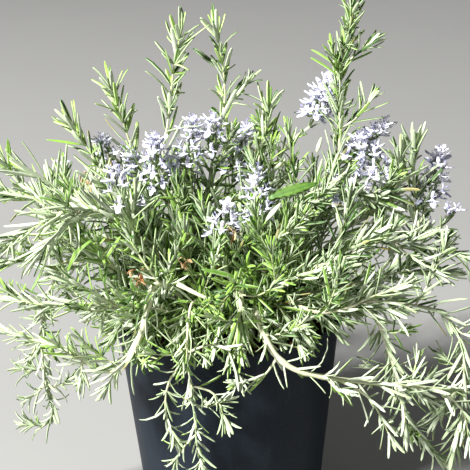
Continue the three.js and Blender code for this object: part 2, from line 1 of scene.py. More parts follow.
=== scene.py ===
"""A trailing rosemary in flower, standing in a round tapered nursery pot.

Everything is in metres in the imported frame: the origin is the middle of the pot's underside, +Z is
up, the plant's front is -Y and its right is +X. Stems, side shoots and flower clusters follow the
same routes as the solids. The leaves, twigs, flowers, bark chips and finishes are added here.
"""

import logging
import math
import random
from dataclasses import dataclass, field
from enum import Enum

import bmesh
import bpy
import numpy as np
from bmesh.types import BMesh, BMFace, BMVert
from bpy.types import Material, Object
from mathutils import Matrix, Vector


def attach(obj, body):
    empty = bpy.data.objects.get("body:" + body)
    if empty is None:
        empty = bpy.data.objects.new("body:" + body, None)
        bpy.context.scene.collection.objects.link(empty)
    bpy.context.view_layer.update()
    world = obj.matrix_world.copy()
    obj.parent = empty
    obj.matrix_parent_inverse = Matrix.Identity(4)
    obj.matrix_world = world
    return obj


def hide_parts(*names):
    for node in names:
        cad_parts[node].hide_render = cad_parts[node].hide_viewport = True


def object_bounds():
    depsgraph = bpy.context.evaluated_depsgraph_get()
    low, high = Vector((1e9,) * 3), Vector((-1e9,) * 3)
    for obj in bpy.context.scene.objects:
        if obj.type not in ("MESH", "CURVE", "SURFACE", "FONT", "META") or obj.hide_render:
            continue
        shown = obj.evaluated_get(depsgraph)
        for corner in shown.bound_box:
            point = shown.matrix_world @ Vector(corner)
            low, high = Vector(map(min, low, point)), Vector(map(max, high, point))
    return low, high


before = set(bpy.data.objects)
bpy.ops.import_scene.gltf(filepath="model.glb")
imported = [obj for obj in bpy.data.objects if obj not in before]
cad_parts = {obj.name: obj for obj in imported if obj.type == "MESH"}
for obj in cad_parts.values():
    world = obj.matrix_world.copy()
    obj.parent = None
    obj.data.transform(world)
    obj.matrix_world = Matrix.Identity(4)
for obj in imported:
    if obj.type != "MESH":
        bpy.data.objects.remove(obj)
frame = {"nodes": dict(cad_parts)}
CAD_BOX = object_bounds()

logging.basicConfig(level=logging.INFO, format="%(message)s")
log = logging.getLogger("rosemary")

MM = 0.001
UP = Vector((0.0, 0.0, 1.0))
FRONT = Vector((0.0, -1.0, 0.0))
RIGHT = Vector((1.0, 0.0, 0.0))
GOLDEN = math.pi * (3 - math.sqrt(5))
BODY = "root"

Colour = tuple[float, float, float, float]
Point = tuple[float, float, float]
Outline = tuple[tuple[float, float], ...]


# ---------- shader tools ----------


def srgb(red: float, green: float, blue: float) -> Colour:
    """A screen colour, 0 to 255 a channel, as the linear colour that a shader takes."""

    def linear(channel: float) -> float:
        """One channel without its screen curve."""
        value = channel / 255
        return value / 12.92 if value <= 0.04045 else ((value + 0.055) / 1.055) ** 2.4

    return linear(red), linear(green), linear(blue), 1.0


class Field:
    """A shader output that takes part in Python sums. Each sum adds a Math node."""

    def __init__(self, shader: "Shader", socket: bpy.types.NodeSocket | None) -> None:
        """Keeps the shader that the output belongs to, and its socket."""
        self.shader = shader
        self.socket = socket

    def __add__(self, other: "Field | float") -> "Field":
        """This value plus another."""
        return self.shader.math("ADD", self, other)

    def __sub__(self, other: "Field | float") -> "Field":
        """This value minus another."""
        return self.shader.math("SUBTRACT", self, other)

    def __rsub__(self, other: float) -> "Field":
        """Another value minus this one."""
        return self.shader.math("SUBTRACT", other, self)

    def __mul__(self, other: "Field | float") -> "Field":
        """This value times another."""
        return self.shader.math("MULTIPLY", self, other)

    def __truediv__(self, other: "Field | float") -> "Field":
        """This value divided by another."""
        return self.shader.math("DIVIDE", self, other)

    def __abs__(self) -> "Field":
        """This value without its sign."""
        return self.shader.math("ABSOLUTE", self)

    __radd__ = __add__

    def step(self, low: float, high: float) -> "Field":
        """A smooth step.

        Args:
            low: The value where the result is 0.
            high: The value where the result is 1. It may be below low.

        Returns:
            0 to 1, or 1 to 0 where high is below low.
        """
        if high < low:
            return 1 - self.step(high, low)
        settings = {"interpolation_type": "SMOOTHSTEP"}
        ends = {"Value": self, "From Min": low, "From Max": high}
        return self.shader.node("ShaderNodeMapRange", settings, ends)


class Shader:
    """The node tree of one material, built by method calls."""

    def __init__(self, name: str) -> None:
        """Starts a material with an empty tree.

        Args:
            name: The material's name.
        """
        self.material = bpy.data.materials.new(name)
        self.material.use_nodes = True
        self.tree = self.material.node_tree
        self.tree.nodes.clear()

    def node(self, kind: str, settings: dict | None = None, inputs: dict | None = None,
             output: int | str = 0) -> Field:
        """Adds any node: its settings are set first, and then its inputs.

        Args:
            kind: The node's type.
            settings: The node's own properties, or a ramp's stops under "stops".
            inputs: A value or a Field for each input, by name or by number.
            output: The output that is given back.

        Returns:
            That output, or an empty Field for a node without one.
        """
        node = self.tree.nodes.new(kind)
        for name, value in (settings or {}).items():
            if name == "stops":
                self.set_stops(node, value)
            else:
                setattr(node, name, value)
        for name, value in (inputs or {}).items():
            if isinstance(value, Field):
                self.tree.links.new(value.socket, node.inputs[name])
            else:
                node.inputs[name].default_value = value
        return Field(self, node.outputs[output] if node.outputs else None)

    @staticmethod
    def set_stops(node: bpy.types.Node, stops: list[tuple[float, Colour]]) -> None:
        """Gives a ramp its stops.

        Args:
            node: The colour ramp node.
            stops: A place from 0 to 1 and a colour for each stop, in order.
        """
        elements = node.color_ramp.elements
        while len(elements) < len(stops):
            elements.new(1.0)
        for element, (place, colour) in zip(elements, stops):
            element.position = place
            element.color = colour

    def math(self, operation: str, *values: "Field | float") -> Field:
        """The result of an operation on its values, in their order."""
        return self.node("ShaderNodeMath", {"operation": operation}, dict(enumerate(values)))

    def value(self, name: str) -> Field:
        """A number that the mesh holds under this name."""
        return self.node("ShaderNodeAttribute", {"attribute_name": name}, output="Fac")

    def vector(self, name: str) -> Field:
        """A vector that the mesh holds under this name."""
        return self.node("ShaderNodeAttribute", {"attribute_name": name}, output="Vector")

    def part(self, vector: Field, axis: int) -> Field:
        """One number of a vector: 0, 1 or 2."""
        return self.node("ShaderNodeSeparateXYZ", None, {0: vector}, axis)

    def place(self) -> Field:
        """Where a point is on the object, in metres."""
        return self.node("ShaderNodeTexCoord", output="Object")

    def stretched(self, where: Field, scale: Point) -> Field:
        """A place with each axis multiplied, for a pattern that isn't the same each way."""
        settings = {"operation": "MULTIPLY"}
        return self.node("ShaderNodeVectorMath", settings, {0: where, 1: scale})

    def distance(self, where: Field, point: Point) -> Field:
        """How far a place is from a point."""
        return self.node("ShaderNodeVectorMath", {"operation": "DISTANCE"}, {0: where, 1: point}, "Value")

    def noise(self, where: Field, scale: float, detail: float = 3, roughness: float = 0.55) -> Field:
        """Noise from 0 to 1. Scale is its patches over one unit of where, detail its finer layers."""
        inputs = {"Vector": where, "Scale": scale, "Detail": detail, "Roughness": roughness}
        return self.node("ShaderNodeTexNoise", None, inputs, "Fac")

    def mix(self, share: "Field | float", first: "Field | Colour", second: "Field | Colour",
            blend: str = "MIX") -> Field:
        """A mix of two colours: a share of 0 is the first, 1 is the second blended over it."""
        settings = {"data_type": "RGBA", "blend_type": blend}
        return self.node("ShaderNodeMix", settings, {0: share, 6: first, 7: second}, 2)

    def mottled(self, share: float, colour: Field, pattern: Field, grey: int) -> Field:
        """A colour that is darker where a pattern is low.

        Args:
            share: How strong the effect is.
            colour: The colour.
            pattern: 0 at the darkest places, 1 where the colour stays as it is.
            grey: What is left of the light at the darkest places, 0 to 255.

        Returns:
            The mottled colour.
        """
        light = self.mix(pattern, srgb(grey, grey, grey), srgb(255, 255, 255))
        return self.mix(share, colour, light, "MULTIPLY")

    def ramp(self, value: Field, stops: list[tuple[float, Colour]]) -> Field:
        """The colour that a ramp has at a value."""
        return self.node("ShaderNodeValToRGB", {"stops": stops}, {0: value})

    def bump(self, height: Field, distance: float, strength: float = 1.0) -> Field:
        """A normal from a height of 0 to 1. Distance is what a height of 1 is, in metres."""
        inputs = {"Strength": strength, "Distance": distance, "Height": height}
        return self.node("ShaderNodeBump", None, inputs)

    def finish(self, colour: Field, roughness: "Field | float", normal: Field | None = None,
               gloss: float = 0.5) -> Material:
        """Ends the tree with a surface.

        Args:
            colour: The base colour.
            roughness: The roughness.
            normal: The bumped normal, if it has one.
            gloss: How strongly it reflects. 0.5 is usual for plastic.

        Returns:
            The material.
        """
        inputs = {"Base Color": colour, "Roughness": roughness, "Specular IOR Level": gloss}
        if normal is not None:
            inputs["Normal"] = normal
        surface = self.node("ShaderNodeBsdfPrincipled", None, inputs)
        self.node("ShaderNodeOutputMaterial", None, {"Surface": surface})
        return self.material


# ---------- finishes ----------
#
# Meshes of stems, leaves and flowers hold these values at each point: grain, the place on the
# piece itself in metres (across, along, and a number of its own); tone, a number from 0 to 1 that
# is the same all over one leaf or flower; age, 0 for new growth to 1 for old; and under, 0 on a
# leaf's upper side to 1 on its underside.


@dataclass(frozen=True)
class LeafFinish:
    """A needle leaf: green and grooved above, pale and felted below.

    Breadth is 1 for a needle and more for a broad leaf. The groove and the margin begin and end at
    their edges' distances from the middle of the leaf, and the scorched tip at its edges' distances
    from the leaf's foot. The groove's green is painted darker, as painted shade in the crease. Round
    the heart of the plant the leaves get painted shade, a darker green multiplied over them: all of
    it within the core, and less and less of it out to the reach.
    """

    name: str = "leaf"
    breadth: float = 1.0
    fresh: Colour = srgb(168, 206, 92)
    mature: Colour = srgb(136, 177, 70)
    dark: Colour = srgb(54, 96, 28)
    felt: Colour = srgb(226, 233, 213)
    rib: Colour = srgb(164, 190, 114)
    margin: Colour = srgb(214, 226, 184)
    scorched: Colour = srgb(168, 146, 84)
    shade: Colour = srgb(150, 182, 84)
    groove_edges: tuple[float, float] = (0.34 * MM, 0.06 * MM)
    margin_edges: tuple[float, float] = (0.72 * MM, 1.1 * MM)
    tip_edges: tuple[float, float] = (17 * MM, 25 * MM)
    heart: Point = (0.005, 0.01, 0.235)
    core: float = 0.05
    reach: float = 0.14

    def material(self) -> Material:
        """The leaf's material."""
        s = Shader(self.name)
        grain, tone, age = s.vector("grain"), s.value("tone"), s.value("age")
        across, along = abs(s.part(grain, 0)) / self.breadth, s.part(grain, 1)
        cells = s.noise(s.stretched(grain, (1.0, 0.22, 1.0)), 1400, 3)
        patches = s.noise(grain, 160, 2)
        green = s.mix(age, self.fresh, self.mature)
        # Tone darkens the green: it differs at random from leaf to leaf, and a stem's painted shade raises
        # it.
        green = s.mix((tone * 1.3 - 0.25 + patches * 0.25).step(0.35, 1.05), green, self.dark)
        groove = across.step(*self.groove_edges)
        # Painted shade in the crease: the groove's green is mixed towards the dark green.
        green = s.mix(groove * 0.45, green, self.dark)
        edge = across.step(*self.margin_edges)
        green = s.mix(edge * 0.5, green, self.margin)
        felt = s.mix(groove * 0.55, self.felt, self.rib)
        felt = s.mix(cells.step(0.4, 0.75) * 0.3, felt, self.rib)
        # A darker tone also mixes the felt towards the mature green, so the stem's painted shade darkens
        # the felt too.
        felt = s.mix(tone.step(0.4, 1.0) * 0.45, felt, self.mature)
        colour = s.mix(s.value("under").step(0.35, 0.75), green, felt)
        tip = along.step(*self.tip_edges) * tone.step(0.94, 0.99)
        colour = s.mix(tip * 0.7, colour, self.scorched)
        colour = s.mottled(0.35, colour, cells, 120)
        # Painted shade: leaves near the heart of the plant are multiplied towards the shade green, darkest
        # within the core.
        inner = s.distance(s.place(), self.heart).step(self.reach, self.core)
        colour = s.mix(inner * 0.4, colour, self.shade, "MULTIPLY")
        roughness = 0.42 + s.value("under") * 0.36 + cells * 0.1
        normal = s.bump(cells * 0.5 - groove * 0.8, 0.12 * MM, 0.8)
        return s.finish(colour, roughness, normal, gloss=0.4)


@dataclass(frozen=True)
class StemFinish:
    """A stem: pale green when new, cream later, and flaking grey-brown bark at its foot."""

    green: Colour = srgb(184, 203, 132)
    cream: Colour = srgb(224, 224, 192)
    tan: Colour = srgb(214, 208, 178)
    bark: Colour = srgb(164, 148, 120)
    crack: Colour = srgb(112, 92, 68)

    def material(self) -> Material:
        """The stem's material."""
        s = Shader("stem")
        grain, age = s.vector("grain"), s.value("age")
        fibres = s.noise(s.stretched(grain, (1.0, 0.09, 1.0)), 900, 4, 0.6)
        flakes = s.noise(s.stretched(grain, (1.0, 0.3, 1.0)), 330, 3, 0.6)
        stops = [(0.0, self.green), (0.3, self.cream), (0.62, self.tan), (1.0, self.bark)]
        colour = s.ramp(age + (flakes - 0.5) * 0.35, stops)
        cracks = fibres.step(0.52, 0.3) * age.step(0.15, 0.8)
        colour = s.mix(cracks * 0.75, colour, self.crack)
        colour = s.mix(flakes.step(0.55, 0.75) * 0.3, colour, self.cream)
        colour = s.mottled(0.3, colour, fibres, 110)
        roughness = 0.6 + age * 0.25
        normal = s.bump(fibres + flakes * 0.8, 0.5 * MM, 0.6)
        return s.finish(colour, roughness, normal, gloss=0.35)


@dataclass(frozen=True)
class PetalFinish:
    """A flower's lips: lilac to nearly white, with violet freckles near the throat."""

    throat: Colour = srgb(212, 209, 238)
    blue: Colour = srgb(224, 225, 246)
    pale: Colour = srgb(248, 246, 252)
    freckle: Colour = srgb(134, 122, 196)

    def material(self) -> Material:
        """The petals' material."""
        s = Shader("petal")
        grain, tone = s.vector("grain"), s.value("tone")
        along = s.part(grain, 1)
        veins = s.noise(s.stretched(grain, (1.0, 0.16, 1.0)), 1500, 2)
        colour = s.mix(tone, self.pale, self.blue)
        colour = s.mix(along.step(9.5 * MM, 5.5 * MM) * 0.7, colour, self.throat)
        colour = s.mix(veins.step(0.5, 0.75) * 0.3, colour, self.blue)
        dots = s.noise(grain, 1700, 1).step(0.6, 0.68) * along.step(9 * MM, 7 * MM)
        colour = s.mix(dots * 0.55, colour, self.freckle)
        normal = s.bump(veins, 0.15 * MM, 0.6)
        return s.finish(colour, 0.6 + veins * 0.15, normal, gloss=0.3)


@dataclass(frozen=True)
class CalyxFinish:
    """The cup that holds a flower: grey-green, flushed with purple and finely felted."""

    green: Colour = srgb(150, 172, 122)
    flush: Colour = srgb(140, 124, 150)

    def material(self) -> Material:
        """The calyx's material."""
        s = Shader("calyx")
        grain = s.vector("grain")
        ribs = s.noise(s.stretched(grain, (1.0, 0.15, 1.0)), 1300, 2)
        flush = s.part(grain, 1).step(1.5 * MM, 5 * MM) * 0.5 + ribs * 0.4 - 0.2
        colour = s.mix(flush.step(0.0, 0.8), self.green, self.flush)
        return s.finish(colour, 0.75 + ribs * 0.1, s.bump(ribs, 0.2 * MM, 0.7), gloss=0.3)


@dataclass(frozen=True)
class StamenFinish:
    """A stamen: a pale violet thread with a slate blue head."""

    thread: Colour = srgb(206, 202, 240)
    head: Colour = srgb(118, 118, 172)

    def material(self) -> Material:
        """The stamens' material."""
        s = Shader("stamen")
        grain = s.vector("grain")
        speckle = s.noise(grain, 2600, 1)
        at_head = s.part(grain, 1).step(13.2 * MM, 13.8 * MM)
        colour = s.mix(at_head, self.thread, s.mix(speckle, self.head, self.thread))
        return s.finish(colour, 0.55 + speckle * 0.2)


@dataclass(frozen=True)
class PotFinish:
    """Moulded charcoal plastic, finely grained, with runs of dust, dry drops and scratches."""

    plastic: Colour = srgb(29, 35, 43)
    worn: Colour = srgb(37, 44, 52)
    dust: Colour = srgb(78, 88, 97)
    dusty_rim: tuple[float, float] = (0.105, 0.19)
    dusty_foot: tuple[float, float] = (0.022, 0.0)

    def material(self) -> Material:
        """The pot's material."""
        s = Shader("pot_plastic")
        where = s.place()
        height = s.part(where, 2)
        cloud = s.noise(where, 14, 4, 0.6)
        runs = s.noise(s.stretched(where, (1.0, 1.0, 0.14)), 110, 4, 0.65)
        moulded = s.noise(where, 2400, 2)
        colour = s.mix(cloud.step(0.35, 0.7) * 0.6, self.plastic, self.worn)
        under_rim = height.step(*self.dusty_rim)
        colour = s.mix(runs.step(0.52, 0.74) * (0.1 + under_rim * 0.16), colour, self.dust)
        drops = s.noise(where, 520, 1).step(0.69, 0.74)
        colour = s.mix(drops * 0.28, colour, self.dust)
        foot = height.step(*self.dusty_foot) * cloud.step(0.3, 0.7)
        colour = s.mix(foot * 0.3, colour, self.dust)
        scratch = s.noise(s.stretched(where, (1.0, 1.0, 0.05)), 700, 2).step(0.68, 0.74)
        colour = s.mix(scratch * 0.2, colour, self.worn)
        roughness = 0.4 + cloud * 0.16 + runs.step(0.5, 0.75) * 0.2 + drops * 0.1
        normal = s.bump(moulded * 0.5 + cloud * 0.4 - scratch * 0.4, 0.09 * MM, 0.5)
        return s.finish(colour, roughness, normal, gloss=0.08)


@dataclass(frozen=True)
class MixFinish:
    """Potting mix and bark chips: dark peat to red-brown bark."""

    peat: Colour = srgb(46, 33, 24)
    bark: Colour = srgb(112, 72, 46)
    pale: Colour = srgb(158, 118, 82)

    def material(self) -> Material:
        """The potting mix's material."""
        s = Shader("potting_mix")
        where, tone = s.place(), s.value("tone")
        crumbs = s.noise(where, 420, 5, 0.65)
        fibres = s.noise(s.stretched(where, (1.0, 0.3, 1.0)), 900, 3, 0.6)
        stops = [(0.0, self.peat), (0.55, self.bark), (1.0, self.pale)]
        colour = s.ramp(tone * 0.8 + (fibres - 0.5) * 0.7, stops)
        colour = s.mix(crumbs.step(0.55, 0.35) * 0.7, colour, self.peat)
        normal = s.bump(crumbs + fibres * 0.5, 1.2 * MM, 0.7)
        return s.finish(colour, 0.8 + crumbs * 0.15, normal, gloss=0.25)


@dataclass(frozen=True)
class DryFinish:
    """Withered leaves and spent flowers: straw to rust."""

    straw: Colour = srgb(206, 180, 138)
    rust: Colour = srgb(140, 92, 56)

    def material(self) -> Material:
        """The withered leaves' material."""
        s = Shader("withered")
        grain = s.vector("grain")
        fibres = s.noise(s.stretched(grain, (1.0, 0.2, 1.0)), 1100, 3)
        colour = s.mix((s.value("tone") + fibres - 0.5).step(0.2, 0.9), self.straw, self.rust)
        return s.finish(colour, 0.8 + fibres * 0.1, s.bump(fibres, 0.3 * MM), gloss=0.2)


@dataclass(frozen=True)
class FloorFinish:
    """The plain pale floor."""

    paint: Colour = srgb(154, 153, 151)
    shade: Colour = srgb(148, 147, 145)

    def material(self) -> Material:
        """The floor's material."""
        s = Shader("floor")
        cloud = s.noise(s.place(), 3, 3)
        return s.finish(s.mix(cloud, self.paint, self.shade), 0.7 + cloud * 0.1)


# ---------- meshes ----------

VALUES = {"grain": 3, "tone": 1, "age": 1, "under": 1}  # how many numbers each value has
MERGE = 1e-6  # how near to each other vertices are joined, in metres


def layers_of(bm: BMesh, size: int) -> bmesh.types.BMLayerCollection:
    """The layers of a bmesh that hold one number a vertex, or three."""
    return bm.verts.layers.float_vector if size == 3 else bm.verts.layers.float


def new_bmesh() -> BMesh:
    """An empty bmesh with the layers for grain, tone, age and under."""
    bm = bmesh.new()
    for name, size in VALUES.items():
        layers_of(bm, size).new(name)
    return bm


def paint(bm: BMesh, finish: int) -> None:
    """Gives all faces the finish with this number."""
    for face in bm.faces:
        face.material_index = finish


def turned(bm: BMesh, profile: list[tuple[float, float]], segments: int,
           roundings: dict[int, float]) -> None:
    """Adds a round solid, turned about the pot's axis.

    Args:
        bm: The bmesh that it is added to.
        profile: Radius and height of each corner, from the axis back to the axis.
        segments: The number of its sides.
        roundings: How far a corner is rounded, by its number.
    """
    corners = [bm.verts.new((radius, 0.0, height)) for radius, height in profile]
    for first, second in zip(corners, corners[1:]):
        bm.edges.new((first, second))
    for number, rounding in roundings.items():
        bmesh.ops.bevel(bm, geom=[corners[number]], offset=rounding, segments=3, profile=0.5,
                        affect="VERTICES", material=-1)
    bmesh.ops.spin(bm, geom=bm.edges[:] + bm.verts[:], cent=(0, 0, 0), axis=(0, 0, 1),
                   angle=2 * math.pi, steps=segments, use_merge=True)
    bmesh.ops.remove_doubles(bm, verts=bm.verts[:], dist=MERGE)


def round_ring(centre: Vector, side: Vector, other: Vector, radius: float, count: int) -> list[Vector]:
    """Points evenly round a centre.

    Args:
        centre: The centre.
        side: The direction of the first point.
        other: The direction a quarter turn on.
        radius: How far from the centre they are.
        count: Their number.

    Returns:
        The points in order.
    """
    turn = [2 * math.pi * k / count for k in range(count)]
    return [centre + (side * math.cos(a) + other * math.sin(a)) * radius for a in turn]


def ringed(bm: BMesh, rings: list[list[Vector]]) -> list[list[BMVert]]:
    """A closed solid through rings of points: a capped circle, extruded ring by ring.

    Args:
        bm: The bmesh that it is added to.
        rings: Two or more rings with the same number of points, in order.

    Returns:
        The vertices of each ring.
    """
    made = bmesh.ops.create_circle(bm, cap_ends=True, radius=1.0, segments=len(rings[0]))
    face = made["verts"][0].link_faces[0]
    placed = []
    for number, ring in enumerate(rings):
        if number == 1:
            geometry = bmesh.ops.extrude_face_region(bm, geom=[face])["geom"]
            face = next(item for item in geometry if isinstance(item, BMFace))
        elif number > 1:
            face = bmesh.ops.extrude_discrete_faces(bm, faces=[face])["faces"][0]
        corners = list(face.verts)
        for vertex, point in zip(corners, ring):
            vertex.co = point
        placed.append(corners)
    return placed


@dataclass
class Pattern:
    """Closed shapes as arrays, with the values of VALUES at each vertex.

    A small one that is stamped many times has x across, y along and z out of its upper side.
    """

    points: np.ndarray
    corners: np.ndarray
    sizes: np.ndarray
    finishes: np.ndarray
    values: dict[str, np.ndarray]

    @classmethod
    def of(cls, bm: BMesh) -> "Pattern":
        """Turns a bmesh's faces outward, reads it into arrays, and frees it.

        Args:
            bm: The bmesh, with the layers of new_bmesh.

        Returns:
            The pattern.
        """
        bmesh.ops.recalc_face_normals(bm, faces=bm.faces[:])
        bm.verts.index_update()
        layers = {name: layers_of(bm, size)[name] for name, size in VALUES.items()}
        pattern = cls(
            np.array([v.co for v in bm.verts]),
            np.array([v.index for f in bm.faces for v in f.verts]),
            np.array([len(f.verts) for f in bm.faces]),
            np.array([f.material_index for f in bm.faces]),
            {name: np.array([v[layer] for v in bm.verts]) for name, layer in layers.items()},
        )
        bm.free()
        return pattern


@dataclass
class Stamp:
    """One copy of a pattern: where it is, and its size, bend and values.

    The frame's columns are the copy's across, along and upward directions. A positive bend
    carries its far end towards its underside, and a twist turns it about its own length.
    """

    root: Vector
    frame: Matrix
    size: tuple[float, float, float]
    bend: float = 0.0
    twist: float = 0.0
    tone: float = 0.5
    age: float = 0.5


def new_object(name: str, data: bpy.types.ID) -> Object:
    """An object of a mesh, a light or a camera, at the origin of the scene."""
    made = bpy.data.objects.new(name, data)
    bpy.context.scene.collection.objects.link(made)
    return made


class Gathering:
    """Copies of patterns and whole bmeshes, joined to one mesh with the values of its finishes."""

    def __init__(self) -> None:
        """Starts with nothing in it."""
        self.shapes: list[Pattern] = []

    def add_bmesh(self, bm: BMesh) -> None:
        """Adds a bmesh that has the layers of new_bmesh, and frees it."""
        self.shapes.append(Pattern.of(bm))

    def stamp(self, pattern: Pattern, stamps: list[Stamp]) -> None:
        """Adds a copy of a pattern for each stamp.

        Args:
            pattern: The shape.
            stamps: Where and how each copy is.
        """
        if not stamps:
            return
        size = np.array([s.size for s in stamps])[:, None, :]
        names = ("bend", "twist", "tone", "age")
        bend, twist, tone, age = (np.array([getattr(s, name) for s in stamps])[:, None] for name in names)
        local = pattern.points[None] * size
        share = pattern.points[None, :, 1]
        cos, sin = np.cos(twist * share), np.sin(twist * share)
        across = local[..., 0] * cos + local[..., 2] * sin
        out = local[..., 2] * cos - local[..., 0] * sin
        length = size[..., 1]
        out = out - bend * length * share**2 / 2
        along = local[..., 1] - length * share * (bend * share) ** 2 / 6
        bent = np.stack([across, along, out], axis=-1)
        frames = np.array([[row[:] for row in s.frame] for s in stamps])
        roots = np.array([s.root[:] for s in stamps])[:, None, :]
        points = np.einsum("nij,nvj->nvi", frames, bent) + roots
        total, each = len(stamps), len(pattern.points)
        offsets = np.arange(total)[:, None] * each
        own_grain = np.array([0, 0, 0.1]) * tone[..., None]
        values = {
            "grain": (pattern.values["grain"][None] * size + own_grain).reshape(-1, 3),
            "tone": np.repeat(tone.ravel(), each),
            "age": np.repeat(age.ravel(), each),
            "under": np.tile(pattern.values["under"], total),
        }
        corners = (pattern.corners[None] + offsets).ravel()
        sizes, finishes = np.tile(pattern.sizes, total), np.tile(pattern.finishes, total)
        self.shapes.append(Pattern(points.reshape(-1, 3), corners, sizes, finishes, values))

    def joined(self) -> Pattern:
        """All that is in it as one pattern."""
        shapes = self.shapes
        first = np.cumsum([0] + [len(shape.points) for shape in shapes])
        return Pattern(
            np.concatenate([shape.points for shape in shapes]),
            np.concatenate([shape.corners + start for shape, start in zip(shapes, first)]),
            np.concatenate([shape.sizes for shape in shapes]),
            np.concatenate([shape.finishes for shape in shapes]),
            {name: np.concatenate([shape.values[name] for shape in shapes]) for name in VALUES},
        )

    def build(self, name: str, finishes: list[Material]) -> Object:
        """Makes the object.

        Args:
            name: The piece's name.
            finishes: Its materials, in the order of the faces' numbers.

        Returns:
            The object, at the origin, with smooth faces.
        """
        whole = self.joined()
        mesh = bpy.data.meshes.new(name)
        mesh.vertices.add(len(whole.points))
        mesh.vertices.foreach_set("co", whole.points.astype(np.float32).ravel())
        mesh.loops.add(len(whole.corners))
        mesh.loops.foreach_set("vertex_index", whole.corners.astype(np.int32))
        mesh.polygons.add(len(whole.sizes))
        starts = np.concatenate([[0], np.cumsum(whole.sizes)[:-1]])
        mesh.polygons.foreach_set("loop_start", starts.astype(np.int32))
        mesh.polygons.foreach_set("material_index", whole.finishes.astype(np.int32))
        mesh.polygons.foreach_set("use_smooth", np.ones(len(whole.sizes), bool))
        for value, size in VALUES.items():
            kind, key = ("FLOAT_VECTOR", "vector") if size == 3 else ("FLOAT", "value")
            layer = mesh.attributes.new(value, kind, "POINT")
            layer.data.foreach_set(key, whole.values[value].astype(np.float32).ravel())
        mesh.update(calc_edges=True)
        for material in finishes:
            mesh.materials.append(material)
        return new_object(name, mesh)


def from_bmesh(name: str, bm: BMesh, finish: Material) -> Object:
    """An object of one bmesh, with smooth faces, and frees the bmesh."""
    mesh = bpy.data.meshes.new(name)
    for face in bm.faces:
        face.smooth = True
    bm.to_mesh(mesh)
    bm.free()
    mesh.materials.append(finish)
    return new_object(name, mesh)


def dress(piece: Object, slot: str, *nodes: str) -> None:
    """Fixes a piece to the object.

    Args:
        piece: The piece.
        slot: The record's material slot. It is not used.
        nodes: The nodes that the piece stands for.
    """
    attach(piece, BODY)
    if nodes:
        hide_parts(*nodes)
    faces = sum(len(polygon.vertices) - 2 for polygon in piece.data.polygons)
    log.info("%s: %d triangles", piece.name, faces)


# ---------- the pot and its filling ----------


@dataclass
class Pot:
    """A thin tapered pot with a collar, a rolled lip, a rounded foot and drain holes."""

    height: float = 0.195
    rim_radius: float = 0.111
    base_radius: float = 0.0875
    wall: float = 0.0016
    floor: float = 0.0022
    collar_height: float = 0.024
    collar_step: float = 0.0018
    lip: float = 0.0012
    lip_height: float = 0.005
    foot: float = 0.003
    drain_holes: int = 6
    drain_radius: float = 0.006
    drain_ring: float = 0.058
    drain_sides: int = 24
    sharp_from: float = math.radians(38)
    segments: int = 144
    roundings: dict[int, float] = field(
        default_factory=lambda: {2: 0.003, 3: 0.0008, 4: 0.0008, 5: 0.0005, 6: 0.0005, 7: 0.0007, 8: 0.0007}
    )

    def radius_at(self, height: float) -> float:
        """The outer radius of the wall below the collar at a height."""
        taper = (self.rim_radius - self.lip - self.collar_step - self.base_radius) / self.height
        return self.base_radius + taper * height

    def outline(self) -> list[tuple[float, float]]:
        """Radius and height of each corner, from the middle of the base round to its inside."""
        collar = self.height - self.collar_height
        step, lip_foot = self.collar_step, self.height - self.lip_height
        neck = self.radius_at(collar)
        return [
            (0.0, 0.0),
            (self.base_radius - self.foot, 0.0),
            (self.base_radius, self.foot),
            (neck, collar),
            (neck + step, collar + step),
            (self.rim_radius - self.lip, lip_foot),
            (self.rim_radius, lip_foot + self.lip),
            (self.rim_radius, self.height),
            (self.rim_radius - self.lip - self.wall, self.height),
            (neck + step - self.wall, collar + step),
            (neck - self.wall, collar - self.wall),
            (self.base_radius - self.foot, self.floor),
            (0.0, self.floor),
        ]

    def shell(self) -> BMesh:
        """The turned shell, with its outline's corners rounded."""
        bm = bmesh.new()
        turned(bm, self.outline(), self.segments, self.roundings)
        bmesh.ops.recalc_face_normals(bm, faces=bm.faces[:])
        return bm

    def drill(self, piece: Object) -> None:
        """Cuts the drain holes through the floor.

        Args:
            piece: The pot's object.
        """
        bm = bmesh.new()
        middle = Vector((0.0, 0.0, self.floor / 2))
        for centre in round_ring(middle, RIGHT, -FRONT, self.drain_ring, self.drain_holes):
            bmesh.ops.create_cone(bm, cap_ends=True, segments=self.drain_sides, depth=4 * self.floor,
                                  radius1=self.drain_radius, radius2=self.drain_radius,
                                  matrix=Matrix.Translation(centre))
        cutter = from_bmesh("drill", bm, piece.data.materials[0])
        cut = piece.modifiers.new("drain_holes", "BOOLEAN")
        cut.operation, cut.object, cut.solver = "DIFFERENCE", cutter, "EXACT"
        depsgraph = bpy.context.evaluated_depsgraph_get()
        drilled = bpy.data.meshes.new_from_object(piece.evaluated_get(depsgraph))
        piece.modifiers.clear()
        piece.data = drilled
        bpy.data.objects.remove(cutter)

    def build(self) -> None:
        """Makes the pot."""
        piece = from_bmesh("nursery_pot", self.shell(), PotFinish().material())
        self.drill(piece)
        piece.data.set_sharp_from_angle(angle=self.sharp_from)
        dress(piece, "pot", "pot")


